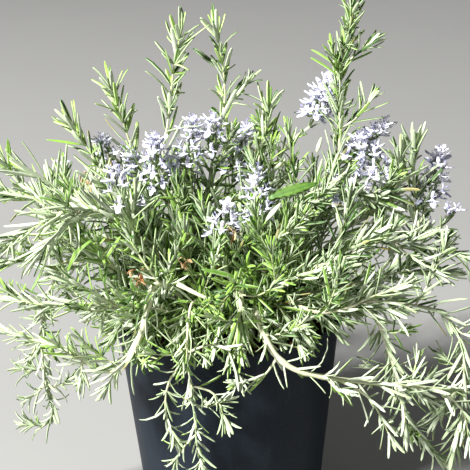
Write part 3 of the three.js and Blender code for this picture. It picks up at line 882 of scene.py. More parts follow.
@dataclass
class PottingMix:
    """The mix that fills the pot: a crumbly body with bark chips lying on it.

    A chip's width and thickness are shares of its length.
    """

    pot: Pot
    top: float = 0.180
    crown: float = 0.183
    shoulder: float = 0.009
    gap: float = 0.0003
    rings: int = 22
    segments: int = 72
    floor_inset: float = 0.002
    crumble: float = 0.0011
    darkest: float = 0.35
    chips: int = 420
    chip_length: tuple[float, float] = (0.005, 0.015)
    chip_width: tuple[float, float] = (0.35, 0.7)
    chip_thickness: tuple[float, float] = (0.14, 0.3)
    chip_bevel: float = 0.16
    chip_unevenness: float = 0.07
    chip_tilt: float = 0.45
    chip_sink: float = 0.0004
    rim_clearance: float = 0.012
    seed: int = 5

    def body(self) -> BMesh:
        """The mix's body, turned, with crumbs on its top."""
        bm = new_bmesh()
        inner = self.pot.radius_at(self.top - self.shoulder) - self.pot.wall - 3 * self.gap
        floor = self.pot.floor + self.gap
        profile = [(0.0, floor), (self.pot.base_radius - self.pot.foot - self.floor_inset, floor),
                   (inner, self.top - self.shoulder), (inner, self.top)]
        profile += [
            (inner * (1 - i / self.rings), self.top + (self.crown - self.top) * i / self.rings)
            for i in range(1, self.rings + 1)
        ]
        turned(bm, profile, self.segments, {})
        draw = random.Random(self.seed)
        tone = bm.verts.layers.float["tone"]
        for vertex in bm.verts:
            vertex[tone] = draw.uniform(0.0, self.darkest)
            if vertex.co.z > self.top - MM and vertex.co.xy.length < inner - MM:
                vertex.co.z += draw.uniform(-2, 1) * self.crumble
        return bm

    def chip(self) -> Pattern:
        """A chip of bark, one unit long: a cracked slab with broken edges."""
        bm = new_bmesh()
        bmesh.ops.create_cube(bm, size=1.0)
        bmesh.ops.bevel(bm, geom=bm.edges[:], offset=self.chip_bevel, segments=1, profile=0.5,
                        affect="EDGES", material=-1)
        draw = random.Random(self.seed)
        for vertex in bm.verts:
            uneven = self.chip_unevenness
            vertex.co += Vector([draw.uniform(-uneven, uneven) for _ in range(3)])
        return Pattern.of(bm)

    def build(self) -> None:
        """Makes the mix with its chips."""
        gathering = Gathering()
        gathering.add_bmesh(self.body())
        draw = random.Random(self.seed + 1)
        stamps = []
        reach = self.pot.radius_at(self.top) - self.rim_clearance
        for number in range(self.chips):
            radius = reach * math.sqrt((number + 0.5) / self.chips)
            angle = number * GOLDEN
            length = draw.uniform(*self.chip_length)
            turn = Matrix.Rotation(draw.uniform(0, 2 * math.pi), 3, "Z")
            tilt = Matrix.Rotation(draw.uniform(-self.chip_tilt, self.chip_tilt), 3, "X")
            rise = self.top + (self.crown - self.top) * (1 - radius / reach) - self.chip_sink
            root = Vector((radius * math.cos(angle), radius * math.sin(angle), rise))
            width, thickness = draw.uniform(*self.chip_width), draw.uniform(*self.chip_thickness)
            size = (length * width, length, length * thickness)
            stamps.append(Stamp(root, turn @ tilt, size, tone=draw.uniform(0.2, 1.0)))
        gathering.stamp(self.chip(), stamps)
        dress(gathering.build("potting_bark", [MixFinish().material()]), "potting_mix", "potting_mix")


# ---------- routes of the stems, in millimetres ----------


class Habit(Enum):
    """How leaves stand on a branch.

    The numbers are the pitch of the pairs, the leaves' length and width, their lean at the
    branch's foot and at its tip, the share of leaves with a bud beside them, and how unlike each
    other neighbouring leaves are.
    """

    TALL = (0.0155, 0.0345, 0.0041, 0.84, 0.60, 0.40, 0.20)
    DENSE = (0.0082, 0.0275, 0.0034, 0.66, 0.50, 0.40, 0.20)
    LONG = (0.0098, 0.0262, 0.0029, 0.95, 0.40, 0.30, 0.18)
    SHORT = (0.0076, 0.0215, 0.0027, 0.92, 0.40, 0.20, 0.16)

    def __init__(self, pitch: float, length: float, width: float, foot_lean: float, tip_lean: float,
                 buds: float, unlike: float) -> None:
        """Names the numbers of a habit."""
        self.pitch = pitch
        self.leaf_length = length
        self.leaf_width = width
        self.foot_lean = foot_lean
        self.tip_lean = tip_lean
        self.buds = buds
        self.unlike = unlike


@dataclass(frozen=True)
class ShootPlan:
    """A side shoot: the points it passes, and the florets at its end.

    A single flower belongs to no cluster.
    """

    route: list[Point]
    florets: int = 0
    single: bool = False
    habit: Habit = Habit.LONG


@dataclass(frozen=True)
class StemPlan:
    """A stem: where it stands, the points it passes, its side shoots and the florets at its end.

    Filling is how closely short side shoots grow along it, up to the bushy share of its length,
    and reach is how long they are. Its leaves have a size, a curl and a spacing of their own. Felted
    is the share of those with the green side to the light that turn it away or, below zero, the
    share of the others that turn it there. A share of painted shade darkens its leaves' green: it
    raises their tone, and so paints shade on them. Girth makes its wood thicker, and a higher taper
    keeps it thick for longer. Old wood is cream nearly to its end. A fan is a bunch of long leaves at
    its last bend.
    """

    root: tuple[float, float]
    route: list[Point]
    shoots: list[ShootPlan] = field(default_factory=list)
    habit: Habit = Habit.LONG
    filling: float = 1.0
    reach: float = 1.0
    bushy: float = 0.85
    leaf_size: float = 1.0
    curl: float = 0.1
    spacing: float = 1.0
    felted: float = 0.12
    painted_shade: float = 0.0
    girth: float = 1.0
    taper: float = 0.6
    old: bool = False
    fan: bool = False
    florets: int = 0


STEMS = [
    StemPlan(  # arching front left, upper
        (-34, -22),
        [(-52, -46, 235), (-73, -66, 288), (-96, -75, 315), (-126, -80, 324), (-150, -82, 319),
         (-172, -85, 308), (-196, -86, 294)],
        [ShootPlan([(-72, -64, 280), (-84, -62, 308), (-92, -60, 332)], 3),
         ShootPlan([(-126, -80, 324), (-141, -90, 312), (-158, -98, 296)])],
        leaf_size=1.3, reach=0.5, felted=0.65,
    ),
    StemPlan(  # long shoot to the left
        (-41, -6),
        [(-62, -34, 238), (-80, -50, 280), (-98, -53, 312), (-129, -50, 320), (-159, -50, 326),
         (-182, -50, 327), (-203, -48, 334)],
        [ShootPlan([(-140, -50, 322), (-156, -42, 336), (-174, -36, 345)])],
        leaf_size=1.35, reach=0.45, felted=0.6,
    ),
    StemPlan(  # far left, tip turned up
        (-36, 10),
        [(-64, 9, 216), (-95, 10, 240), (-132, 18, 261), (-171, 28, 282), (-188, 30, 303),
         (-205, 30, 330)],
        [ShootPlan([(-150, 23, 270), (-156, 28, 298), (-154, 31, 318)], single=True)],
        leaf_size=1.15, bushy=0.7, spacing=1.4, filling=0.55,
    ),
    StemPlan(  # left, standing
        (-27, -3),
        [(-50, -6, 220), (-76, -8, 254), (-96, -6, 294), (-112, -2, 330), (-123, 0, 352),
         (-138, 0, 378)],
        [ShootPlan([(-76, -8, 256), (-96, -22, 284), (-112, -30, 300)], single=True)],
        habit=Habit.TALL, bushy=0.45, felted=-0.35, painted_shade=0.2,
    ),
    StemPlan(  # left, behind, standing
        (-24, 20),
        [(-45, 25, 225), (-65, 30, 265), (-82, 42, 311), (-89, 49, 342), (-98, 50, 375),
         (-104, 50, 398)],
        [ShootPlan([(-66, 30, 268), (-78, 22, 298), (-82, 18, 318)], 4),
         ShootPlan([(-80, 40, 305), (-96, 32, 328), (-104, 27, 340)], 3)],
        habit=Habit.TALL, bushy=0.55, felted=-0.35, painted_shade=0.2,
    ),
    StemPlan(  # tall, left of the middle
        (-13, 5),
        [(-28, 8, 215), (-41, 10, 251), (-54, 18, 300), (-58, 25, 340), (-52, 30, 372),
         (-45, 30, 420), (-38, 30, 452)],
        [ShootPlan([(-54, 18, 300), (-60, 8, 325), (-62, 2, 341)], 4),
         ShootPlan([(-52, 16, 290), (-37, 16, 326), (-33, 18, 346)], 4)],
        habit=Habit.TALL, bushy=0.55, felted=-0.35, painted_shade=0.2,
    ),
    StemPlan(  # tallest in the middle
        (-1, 15),
        [(-8, 18, 210), (-13, 22, 240), (-17, 32, 290), (-10, 40, 337), (-3, 40, 365),
         (2, 40, 390), (1, 40, 420), (-4, 40, 452)],
        [ShootPlan([(0, 40, 380), (14, 43, 392), (24, 44, 404)], habit=Habit.TALL),
         ShootPlan([(-14, 34, 300), (6, 34, 324), (12, 36, 336)], 4),
         ShootPlan([(-10, 40, 337), (-12, 29, 350), (-11, 23, 358)], 3)],
        habit=Habit.TALL, bushy=0.55, felted=-0.35, painted_shade=0.2,
    ),
    StemPlan(  # low left
        (-46, -24),
        [(-70, -45, 226), (-92, -60, 254), (-111, -70, 270), (-135, -74, 277), (-160, -78, 283),
         (-188, -80, 278)],
        [ShootPlan([(-120, -72, 273), (-136, -60, 262), (-152, -52, 254)])],
        leaf_size=1.1, felted=0.5,
    ),
    StemPlan(  # lower front left
        (-34, -40),
        [(-48, -66, 215), (-66, -88, 232), (-94, -96, 238), (-114, -98, 242), (-136, -98, 243),
         (-160, -95, 241), (-188, -90, 244)],
        [ShootPlan([(-100, -97, 239), (-118, -108, 258), (-134, -112, 268)])],
        felted=0.6,
    ),
    StemPlan(  # hangs down at the left
        (-53, -6),
        [(-78, -12, 226), (-106, -13, 246), (-140, -20, 252), (-163, -26, 234), (-175, -34, 196),
         (-176, -39, 164), (-173, -42, 136), (-169, -44, 112), (-176, -46, 97), (-190, -46, 97)],
        [ShootPlan([(-175, -36, 182), (-184, -34, 170), (-190, -32, 158)]),
         ShootPlan([(-174, -42, 140), (-183, -45, 130), (-190, -47, 126)])],
        leaf_size=0.85, curl=0.8, girth=0.9, felted=0.5, spacing=0.8,
    ),
    StemPlan(  # thick stem that bends down over the rim, front left
        (-22, -52),
        [(-33, -68, 222), (-51, -87, 252), (-64, -98, 258), (-70, -105, 240), (-77, -111, 217),
         (-86, -115, 200), (-98, -118, 188), (-112, -118, 186), (-128, -115, 196), (-150, -110, 206),
         (-172, -105, 212), (-196, -99, 217)],
        [ShootPlan([(-60, -94, 258), (-70, -96, 276), (-84, -92, 300)]),
         ShootPlan([(-98, -118, 188), (-103, -119, 180), (-108, -120, 172)]),
         ShootPlan([(-128, -115, 196), (-130, -118, 188), (-131, -119, 180)])],
        girth=1.5, old=True, felted=0.75, taper=1.3,
    ),
    StemPlan(  # hangs down in front
        (-8, -50),
        [(-20, -76, 226), (-31, -102, 242), (-35, -118, 224), (-36, -123, 196), (-34, -124, 174),
         (-32, -124, 147), (-31, -123, 122), (-28, -121, 92)],
        [ShootPlan([(-35, -122, 200), (-52, -127, 180), (-57, -127, 152), (-51, -125, 124)]),
         ShootPlan([(-35, -123, 205), (-15, -127, 213), (-2, -128, 210), (8, -130, 184)]),
         ShootPlan([(-34, -124, 172), (-14, -128, 166), (-5, -129, 142)]),
         ShootPlan([(-31, -123, 124), (-42, -124, 112), (-50, -124, 98)])],
        filling=0.4, leaf_size=0.85, curl=0.55, girth=0.8, felted=0.4,
    ),
    StemPlan(  # short, over the rim in front
        (7, -46),
        [(9, -66, 234), (12, -88, 254), (12, -106, 244), (10, -117, 226), (10, -122, 208)],
        fan=True, girth=1.55, spacing=1.5, felted=0.15, taper=3.0, old=True,
    ),
    StemPlan(  # thick stem over the rim to the lower right
        (22, -48),
        [(23, -72, 216), (26, -98, 230), (31, -113, 217), (40, -121, 201), (55, -125, 188),
         (80, -125, 179), (112, -120, 171), (150, -112, 162), (188, -100, 152), (219, -92, 145)],
        [ShootPlan([(44, -122, 197), (30, -128, 182), (14, -130, 178)]),
         ShootPlan([(96, -123, 175), (124, -120, 154), (136, -117, 132), (144, -114, 112)]),
         ShootPlan([(146, -113, 163), (156, -113, 140), (159, -112, 118)]),
         ShootPlan([(188, -100, 152), (212, -99, 128), (219, -98, 98)])],
        filling=0.3, spacing=1.35, girth=1.25, old=True, felted=0.45, taper=2.4,
    ),
    StemPlan(  # right, arching over and hanging down
        (32, -36),
        [(46, -54, 218), (64, -77, 226), (82, -90, 225), (100, -95, 229), (126, -95, 237),
         (160, -93, 232), (186, -91, 225), (202, -90, 210), (211, -89, 190), (214, -88, 160),
         (213, -87, 122), (208, -86, 86)],
        [ShootPlan([(112, -95, 233), (130, -104, 246), (150, -110, 254)]),
         ShootPlan([(213, -88, 150), (202, -80, 130), (192, -74, 108)])],
        leaf_size=1.1, filling=0.6, felted=0.3, painted_shade=0.55,
    ),
    StemPlan(  # right, hanging nearer the pot
        (44, -24),
        [(66, -42, 212), (93, -52, 222), (118, -60, 222), (135, -64, 208), (142, -67, 190),
         (150, -70, 166), (156, -71, 140), (163, -71, 114), (178, -71, 86), (194, -71, 66)],
        [ShootPlan([(150, -70, 166), (163, -74, 148), (178, -78, 134)])],
        filling=0.7, felted=0.5, painted_shade=0.4,
    ),
    StemPlan(  # right, long
        (40, -8),
        [(54, -34, 226), (74, -54, 252), (100, -60, 263), (115, -62, 271), (132, -60, 279),
         (155, -60, 280), (180, -60, 275), (206, -57, 266), (226, -55, 256)],
        [ShootPlan([(92, -60, 260), (108, -70, 276), (126, -78, 290)]),
         ShootPlan([(150, -60, 280), (166, -70, 268), (184, -76, 258)])],
        leaf_size=1.15, filling=0.7, felted=0.45, painted_shade=0.5,
    ),
    StemPlan(  # right, lower
        (54, -8),
        [(76, -16, 214), (98, -26, 222), (125, -32, 230), (150, -34, 238), (172, -34, 240),
         (200, -34, 238)],
        [ShootPlan([(120, -31, 229), (138, -20, 216), (156, -12, 206)])],
        leaf_size=1.1, filling=0.7, felted=0.4, painted_shade=0.55,
    ),
    StemPlan(  # right, woody, with upright flowering twigs
        (30, 6),
        [(40, 5, 224), (50, 4, 262), (66, 4, 294), (84, 5, 308), (108, 5, 311), (130, 5, 303),
         (156, 5, 289), (176, 5, 271), (200, 5, 264)],
        [ShootPlan([(156, 5, 289), (155, 6, 308), (147, 6, 326), (140, 6, 336)], 4),
         ShootPlan([(178, 5, 270), (178, 3, 300), (176, 2, 326), (176, 1, 350)], habit=Habit.DENSE),
         ShootPlan([(184, 5, 268), (192, 10, 296), (197, 12, 314)], 4),
         ShootPlan([(140, 5, 298), (160, -7, 316), (162, -10, 342)], habit=Habit.DENSE),
         ShootPlan([(112, 5, 310), (121, -2, 316)], 3),
         ShootPlan([(198, 5, 264), (206, 3, 274)], 2)],
        filling=0.7, leaf_size=1.1, felted=0.35, painted_shade=0.5,
    ),
    StemPlan(  # tall, right
        (18, 12),
        [(40, 12, 222), (66, 14, 266), (92, 15, 304), (104, 16, 330), (109, 17, 360),
         (108, 18, 394), (111, 20, 428), (117, 20, 460), (122, 20, 492), (124, 20, 516)],
        [ShootPlan([(109, 17, 362), (124, 15, 376), (136, 15, 392)], habit=Habit.DENSE),
         ShootPlan([(102, 16, 326), (122, 20, 338), (132, 22, 346)], 4),
         ShootPlan([(110, 19, 410), (105, 16, 424), (102, 14, 436)], habit=Habit.DENSE),
         ShootPlan([(111, 20, 422), (124, 22, 434), (136, 24, 443)], habit=Habit.DENSE)],
        habit=Habit.DENSE, bushy=0.45, felted=-0.6, painted_shade=0.4, spacing=0.8,
    ),
    StemPlan(  # behind the middle, carries the large cluster
        (10, 24),
        [(22, 28, 226), (36, 38, 278), (48, 44, 320), (64, 45, 346), (82, 45, 360),
         (89, 45, 374)],
        [ShootPlan([(56, 45, 334), (42, 40, 352), (36, 37, 366)])],
        florets=6, bushy=0.6, girth=1.25, spacing=1.4,
    ),
    StemPlan(  # middle, behind, standing
        (6, 0),
        [(10, 8, 232), (18, 20, 282), (32, 30, 330), (40, 35, 362), (43, 36, 378)],
        habit=Habit.TALL, bushy=0.7,
    ),
    StemPlan(  # middle left, front
        (-18, -32),
        [(-28, -50, 228), (-33, -60, 262), (-37, -64, 292)],
        felted=0.25,
    ),
    StemPlan(  # middle, front
        (-6, -16),
        [(-8, -34, 234), (-8, -46, 270), (-3, -48, 290)],
        [ShootPlan([(-8, -42, 258), (-22, -44, 276), (-34, -40, 288)])],
        florets=3, felted=0.25,
    ),
    StemPlan(  # middle right, front
        (24, -16),
        [(32, -34, 232), (42, -44, 268), (56, -46, 292), (66, -46, 306)],
        [ShootPlan([(34, -36, 240), (30, -20, 282), (30, -10, 306)], 4)],
    ),
    StemPlan(  # front right, low
        (14, -34),
        [(30, -60, 226), (44, -76, 246), (64, -82, 258), (84, -86, 264)],
    ),
    StemPlan(  # back left, long
        (-38, 30),
        [(-72, 66, 226), (-108, 106, 256), (-142, 138, 260), (-166, 162, 240), (-180, 176, 212)],
        [ShootPlan([(-112, 110, 257), (-122, 136, 274), (-128, 152, 290)])],
    ),
    StemPlan(  # back, left of the middle
        (-14, 44),
        [(-24, 84, 228), (-36, 130, 252), (-48, 172, 246), (-56, 196, 218), (-58, 206, 184)],
        [ShootPlan([(-38, 136, 253), (-64, 152, 268), (-84, 164, 276)])],
    ),
    StemPlan(  # back, right of the middle
        (14, 44),
        [(28, 84, 234), (42, 134, 262), (54, 176, 268), (64, 204, 260)],
        [ShootPlan([(44, 140, 264), (28, 158, 282), (16, 170, 296)])],
    ),
    StemPlan(  # back right, hanging
        (36, 30),
        [(72, 66, 228), (110, 104, 252), (144, 132, 250), (166, 148, 222), (176, 154, 186)],
        [ShootPlan([(112, 106, 252), (112, 130, 270), (110, 146, 284)])],
    ),
    StemPlan(  # right, behind
        (50, 14),
        [(88, 36, 228), (126, 58, 256), (162, 74, 268), (192, 84, 262)],
        [ShootPlan([(128, 59, 257), (146, 48, 276), (160, 42, 290)])],
    ),
    StemPlan(  # left, behind
        (-48, 16),
        [(-86, 38, 226), (-124, 62, 250), (-158, 80, 250), (-186, 92, 232)],
        [ShootPlan([(-126, 63, 250), (-138, 84, 268), (-148, 96, 282)])],
    ),
]

STEM_FOOT = 162  # how high a stem starts in the mix, in millimetres
STEM_COLLAR = 186  # how high it stands straight


# ---------- branches ----------


def smooth_route(corners: list[Vector], step: float, samples: int = 24) -> list[Vector]:
    """A smooth curve through points, as evenly spaced points.

    Args:
        corners: The points that it passes.
        step: About how far apart the points that are given back are.
        samples: How many places the curve is worked out at between two points.

    Returns:
        Points from the first corner to the last.
    """
    p = np.array([c[:] for c in corners])
    p = np.vstack([2 * p[0] - p[1], p, 2 * p[-1] - p[-2]])
    fine = []
    share = np.linspace(0, 1, samples, endpoint=False)[:, None]
    for a, b, c, d in zip(p, p[1:], p[2:], p[3:]):
        ab, bc, cd = (np.linalg.norm(v) ** 0.5 for v in (b - a, c - b, d - c))
        start = bc * ((b - a) / ab - (c - a) / (ab + bc)) + (c - b)
        end = bc * ((d - c) / cd - (d - b) / (bc + cd)) + (c - b)
        s2, s3 = share**2, share**3
        fine.append((2 * s3 - 3 * s2 + 1) * b + (s3 - 2 * s2 + share) * start
                    + (3 * s2 - 2 * s3) * c + (s3 - s2) * end)
    line = np.vstack([*fine, p[-2:-1]])
    run = np.concatenate([[0], np.cumsum(np.linalg.norm(np.diff(line, axis=0), axis=1))])
    count = max(2, round(run[-1] / step))
    even = np.linspace(0, run[-1], count + 1)
    return [Vector(q) for q in np.stack([np.interp(even, run, line[:, k]) for k in range(3)], axis=1)]


def spoke(growth: Vector, side: Vector, angle: float) -> Vector:
    """The direction straight out of a branch at an angle round it."""
    return side * math.cos(angle) + growth.cross(side) * math.sin(angle)


def leaning(growth: Vector, out: Vector, tilt: float) -> Vector:
    """The direction of growth, leaned outward by an angle."""
    return growth * math.cos(tilt) + out * math.sin(tilt)


def stamp_frame(across: Vector, along: Vector) -> Matrix:
    """The frame of a stamp that lies along one direction and across another."""
    return Matrix((across, along, across.cross(along))).transposed()


class Branch:
    """A stem, side shoot or twig: its line, its thickness and its age."""

    STEP = 0.0045
    UNEVEN = (0.9, 1.12)
    SHORT_OF_END = 0.001

    def __init__(self, corners: list[Vector], radii: tuple[float, float], bare: float,
                 ages: tuple[float, float], taper: float = 1.0) -> None:
        """Lays the branch along a smooth route.

        Args:
            corners: The points that it passes.
            radii: Its radius at its foot and at its tip.
            bare: The length at its foot that has no leaves.
            ages: Its age at its foot and at its tip.
            taper: 1 for an even taper, more for one that stays thick for longer.
        """
        self.points = smooth_route(corners, self.STEP)
        self.length = sum((b - a).length for a, b in zip(self.points, self.points[1:]))
        self.pace = self.length / (len(self.points) - 1)
        self.radii, self.bare, self.ages, self.taper = radii, bare, ages, taper
        self.tangents = [
            (self.points[min(i + 1, len(self.points) - 1)] - self.points[max(i - 1, 0)]).normalized()
            for i in range(len(self.points))
        ]
        self.sides = [self.tangents[0].orthogonal().normalized()]
        for tangent in self.tangents[1:]:
            carried = self.sides[-1] - tangent * self.sides[-1].dot(tangent)
            self.sides.append(carried.normalized())

    def at(self, distance: float) -> tuple[Vector, Vector, Vector]:
        """A place on the branch.

        Args:
            distance: How far from its foot.

        Returns:
            The point, the direction of growth and a sideways direction.
        """
        index = min(max(distance / self.pace, 0.0), len(self.points) - 1 - self.SHORT_OF_END)
        low, share = int(index), index - int(index)
        point = self.points[low].lerp(self.points[low + 1], share)
        near = round(index)
        return point, self.tangents[near], self.sides[near]

    def radius_at(self, share: float) -> float:
        """The radius at a share of the length."""
        return self.radii[0] + (self.radii[1] - self.radii[0]) * share**self.taper

    def nearest(self, point: Vector) -> float:
        """How far from the foot the branch passes nearest to a point."""
        index = min(range(len(self.points)), key=lambda i: (self.points[i] - point).length)
        return index * self.pace

    def tube(self, bm: BMesh, sides: int, draw: random.Random) -> None:
        """Adds the branch's wood, which is a little uneven.

        Args:
            bm: The bmesh of the stem.
            sides: The number of its sides.
            draw: The random draw.
        """
        last = len(self.points) - 1
        rings = []
        for i, (point, tangent, side) in enumerate(zip(self.points, self.tangents, self.sides)):
            radius = self.radius_at(i / last) * draw.uniform(*self.UNEVEN)
            rings.append(round_ring(point, side, tangent.cross(side), radius, sides))
        placed = ringed(bm, rings)
        grain, age = bm.verts.layers.float_vector["grain"], bm.verts.layers.float["age"]
        own = draw.uniform(0, 0.3)
        for i, ring in enumerate(placed):
            share = i / last
            along = Vector((own, i * self.pace, 0.0))
            for vertex, place in zip(ring, round_ring(along, RIGHT, UP, self.radius_at(share), sides)):
                vertex[grain] = place
                vertex[age] = self.ages[0] + (self.ages[1] - self.ages[0]) * share


@dataclass
class Room:
    """Where shoots and leaves may be: clear of the pot, its mix and the table, inside the box."""

    pot: Pot
    mix_top: float = 0.184
    margin: float = 0.0022
    rim_band: float = 0.0045
    table: float = 0.005
    edge: float = 0.0012

    def free(self, point: Vector) -> bool:
        """Whether a point is clear."""
        low, high = CAD_BOX
        if any(point[i] < low[i] + self.edge or point[i] > high[i] - self.edge for i in range(3)):
            return False
        if point.z < self.table:
            return False
        if point.z > self.pot.height + self.margin:
            return True
        radius = point.xy.length
        if radius > self.pot.rim_radius + self.margin:
            return True
        return radius < self.pot.rim_radius - self.rim_band - self.margin and point.z > self.mix_top


# ---------- leaves ----------


@dataclass
class Leaf:
    """The needle leaf: parallel sides, a blunt tip, rolled margins and a groove along its middle.

    The section holds across, height and under for each point round the leaf, and the outline holds
    along and width.
    """

    finish: int = 1
    full_length: float = 0.02
    full_width: float = 0.0029
    thickness: float = 0.0011
    section: tuple[Point, ...] = (
        (-0.5, 0.05, 0.3), (-0.22, 0.5, 0.0), (0.0, 0.22, 0.0), (0.22, 0.5, 0.0), (0.5, 0.05, 0.3),
        (0.4, -0.5, 1.0), (0.0, -0.3, 1.0), (-0.4, -0.5, 1.0),
    )
    outline: Outline = (
        (0.0, 0.42), (0.1, 0.74), (0.4, 1.0), (0.76, 0.94), (0.94, 0.62), (1.0, 0.22),
    )

    def pattern(self) -> Pattern:
        """The leaf, one unit long and wide, with its upper side up."""
        bm = new_bmesh()
        rings = [
            [Vector((x * share, along, z * min(1.0, share + 0.2))) for x, z, _ in self.section]
            for along, share in self.outline
        ]
        placed = ringed(bm, rings)
        under, grain = bm.verts.layers.float["under"], bm.verts.layers.float_vector["grain"]
        for ring in placed:
            for vertex, (_, _, side) in zip(ring, self.section):
                vertex[under] = side
                vertex[grain] = vertex.co * Vector((1.0, 1.0, 0.3))
        paint(bm, self.finish)
        return Pattern.of(bm)


@dataclass
class Foliage:
    """Grows the leaves of one stem as stamps.

    Felted is the plan's at first. Roll and the spreads are the usual differences from leaf to leaf,
    in radians. A leaf starts its seat's share of the radius from the branch's middle.
    """

    room: Room
    leaf: Leaf
    draw: random.Random
    plan: StemPlan
    felted: float
    lift: float = 0.06
    seat: float = 0.6
    tip_gap: float = 0.002
    among_flowers: float = 0.45
    roll: float = 0.3
    bend_spread: float = 0.32
    twist_spread: float = 0.35
    round_spread: float = 0.22
    bud_spread: float = 0.33
    width_range: tuple[float, float] = (0.78, 1.22)
    bud_range: tuple[float, float] = (0.28, 0.62)
    bud_leaves: tuple[int, int] = (2, 4)
    bud_age: float = 0.15
    crown_lean: float = 0.08
    crown_range: tuple[float, float] = (0.7, 1.15)
    crown_step: float = 0.0006
    crown_age: float = 0.1
    stamps: list[Stamp] = field(default_factory=list)

    def leaf_at(self, root: Vector, direction: Vector, face: Vector, length: float, width: float,
                age: float) -> None:
        """Adds a leaf if there is room for it.

        Args:
            root: Where it starts.
            direction: Where it points.
            face: The direction that its upper side looks to.
            length: Its length.
            width: The width of a full-grown leaf.
            age: Its age, 0 to 1.
        """
        along = direction.normalized()
        across = along.cross(face)
        if across.length < 1e-4:
            across = along.orthogonal()
        across.normalize()
        across = (Matrix.Rotation(self.draw.gauss(0, self.roll), 3, along) @ across).normalized()
        out = across.cross(along)
        lit = out.dot(UP + FRONT) > 0
        if lit == (self.felted > 0) and self.draw.random() < abs(self.felted):
            across, out = -across, -out
        bend = self.draw.gauss(self.plan.curl, self.bend_spread)
        tip = root + along * length - out * (bend * length / 2)
        middle = root + along * (length / 2) - out * (bend * length / 8)
        if not (self.room.free(tip) and self.room.free(middle)):
            return
        grown = 0.45 + 0.55 * min(1.0, length / self.leaf.full_length)
        width = width * self.draw.uniform(*self.width_range) * grown
        size = (width, length, self.leaf.thickness * (0.4 + 0.6 * width / self.leaf.full_width))
        twist = self.draw.gauss(0, self.twist_spread)
        # Painted shade: the stem's share of painted shade raises each leaf's tone, so that its green is
        # painted darker.
        tone = self.plan.painted_shade + (1 - self.plan.painted_shade) * self.draw.random()
        self.stamps.append(Stamp(root, stamp_frame(across, along), size, bend, twist, tone, age))

    def bud(self, root: Vector, out: Vector, growth: Vector, length: float, width: float) -> None:
        """Adds the small leaves of a bud beside a leaf's foot."""
        for _ in range(self.draw.randint(*self.bud_leaves)):
            spread = Vector([self.draw.gauss(0, self.bud_spread) for _ in range(3)])
            direction = growth * 0.75 + out * 0.65 + spread
            own = length * self.draw.uniform(*self.bud_range)
            self.leaf_at(root, direction, growth, own, width, self.bud_age)

    def clothe(self, branch: Branch, habit: Habit, flowering: bool = False) -> None:
        """Adds pairs of leaves along a branch, each turned a quarter from the last, and its tip.

        Args:
            branch: The branch.
            habit: How the leaves stand.
            flowering: Whether flowers end it. Its upper leaves are shorter then.
        """
        draw, size = self.draw, self.plan.leaf_size
        distance, turn = branch.bare, draw.uniform(0, math.pi)
        while distance < branch.length - self.tip_gap:
            share = distance / branch.length
            lean = habit.foot_lean + (habit.tip_lean - habit.foot_lean) * share
            fullness = 0.8 + 0.34 * math.sin(math.pi * min(1.0, share + 0.12))
            root, growth, side = branch.at(distance)
            for half in (0, math.pi):
                out = spoke(growth, side, turn + half + draw.gauss(0, self.round_spread))
                direction = leaning(growth, out, lean + draw.gauss(0, habit.unlike)) + UP * self.lift
                start = root + out * branch.radius_at(share) * self.seat
                own = draw.uniform(0.85 - habit.unlike, 1.15 + habit.unlike)
                own *= 1 - (1 - self.among_flowers) * flowering * share
                length = habit.leaf_length * size * fullness * own
                width = habit.leaf_width * size
                self.leaf_at(start, direction, growth, length, width, 1 - 0.8 * share)
                if draw.random() < habit.buds:
                    self.bud(start, out, growth, length, width)
            turn += math.pi / 2
            gap = habit.pitch * self.plan.spacing * draw.uniform(0.8, 1.2)
            distance += gap * (1 - 0.45 * share**2)
        length = habit.leaf_length * size * (self.among_flowers if flowering else 0.85)
        self.crown(branch, length, habit.leaf_width, habit.tip_lean / 6)

    def crown(self, branch: Branch, length: float, width: float, spread: float, count: int = 7,
              back: float = 0.0, facing: int = 1) -> None:
        """Adds the bunch of young leaves that ends a branch.

        Args:
            branch: The branch.
            length: Their mean length.
            width: Their width.
            spread: How much more each one leans than the one before.
            count: Their number.
            back: How far before the branch's end they start.
            facing: 1 where their upper sides look to the branch's tip, -1 where they look back.
        """
        root, growth, side = branch.at(branch.length - back)
        for number in range(count):
            out = spoke(growth, side, number * GOLDEN)
            direction = leaning(growth, out, self.crown_lean + spread * number)
            own = length * self.draw.uniform(*self.crown_range)
            start = root - growth * self.crown_step * number
            self.leaf_at(start, direction, growth * facing, own, width, self.crown_age)


# ---------- flowers ----------


class Part(Enum):
    """The finishes of a flower, by their number on its faces."""

    PETAL = 0
    CALYX = 1
    STAMEN = 2


@dataclass(frozen=True)
class Lobe:
    """A lobe of a flower's lips, in millimetres, and how it is turned, in degrees.

    Its edges stand above its middle by its cup, and its end bends up by its arch. Pitch turns it up,
    yaw turns it aside, and rise is how far above the tube's middle it starts.
    """

    length: float
    width: float
    cup: float
    arch: float
    pitch: float
    yaw: float
    rise: float

    def place(self, mouth: float) -> Matrix:
        """Where its foot is, and how it is turned, on a tube of this length."""
        aside = Matrix.Rotation(math.radians(-self.yaw), 4, "Z")
        turn = aside @ Matrix.Rotation(math.radians(self.pitch), 4, "X")
        return Matrix.Translation((0.0, mouth, self.rise)) @ turn

    def point(self, x: float, y: float) -> Vector:
        """The point of the lobe at x, from -0.5 to 0.5 across, and y, from 0 to 1 along."""
        wide = self.width * (0.42 + 1.0 * math.sin(math.pi * min(1.0, y * 0.8 + 0.08)) - 0.42 * y)
        notch = 0.1 * self.length * (1 - abs(2 * x)) * (y > 0.9)
        return Vector((x * wide, y * self.length - notch, self.cup * (2 * x) ** 2 + self.arch * y * y))


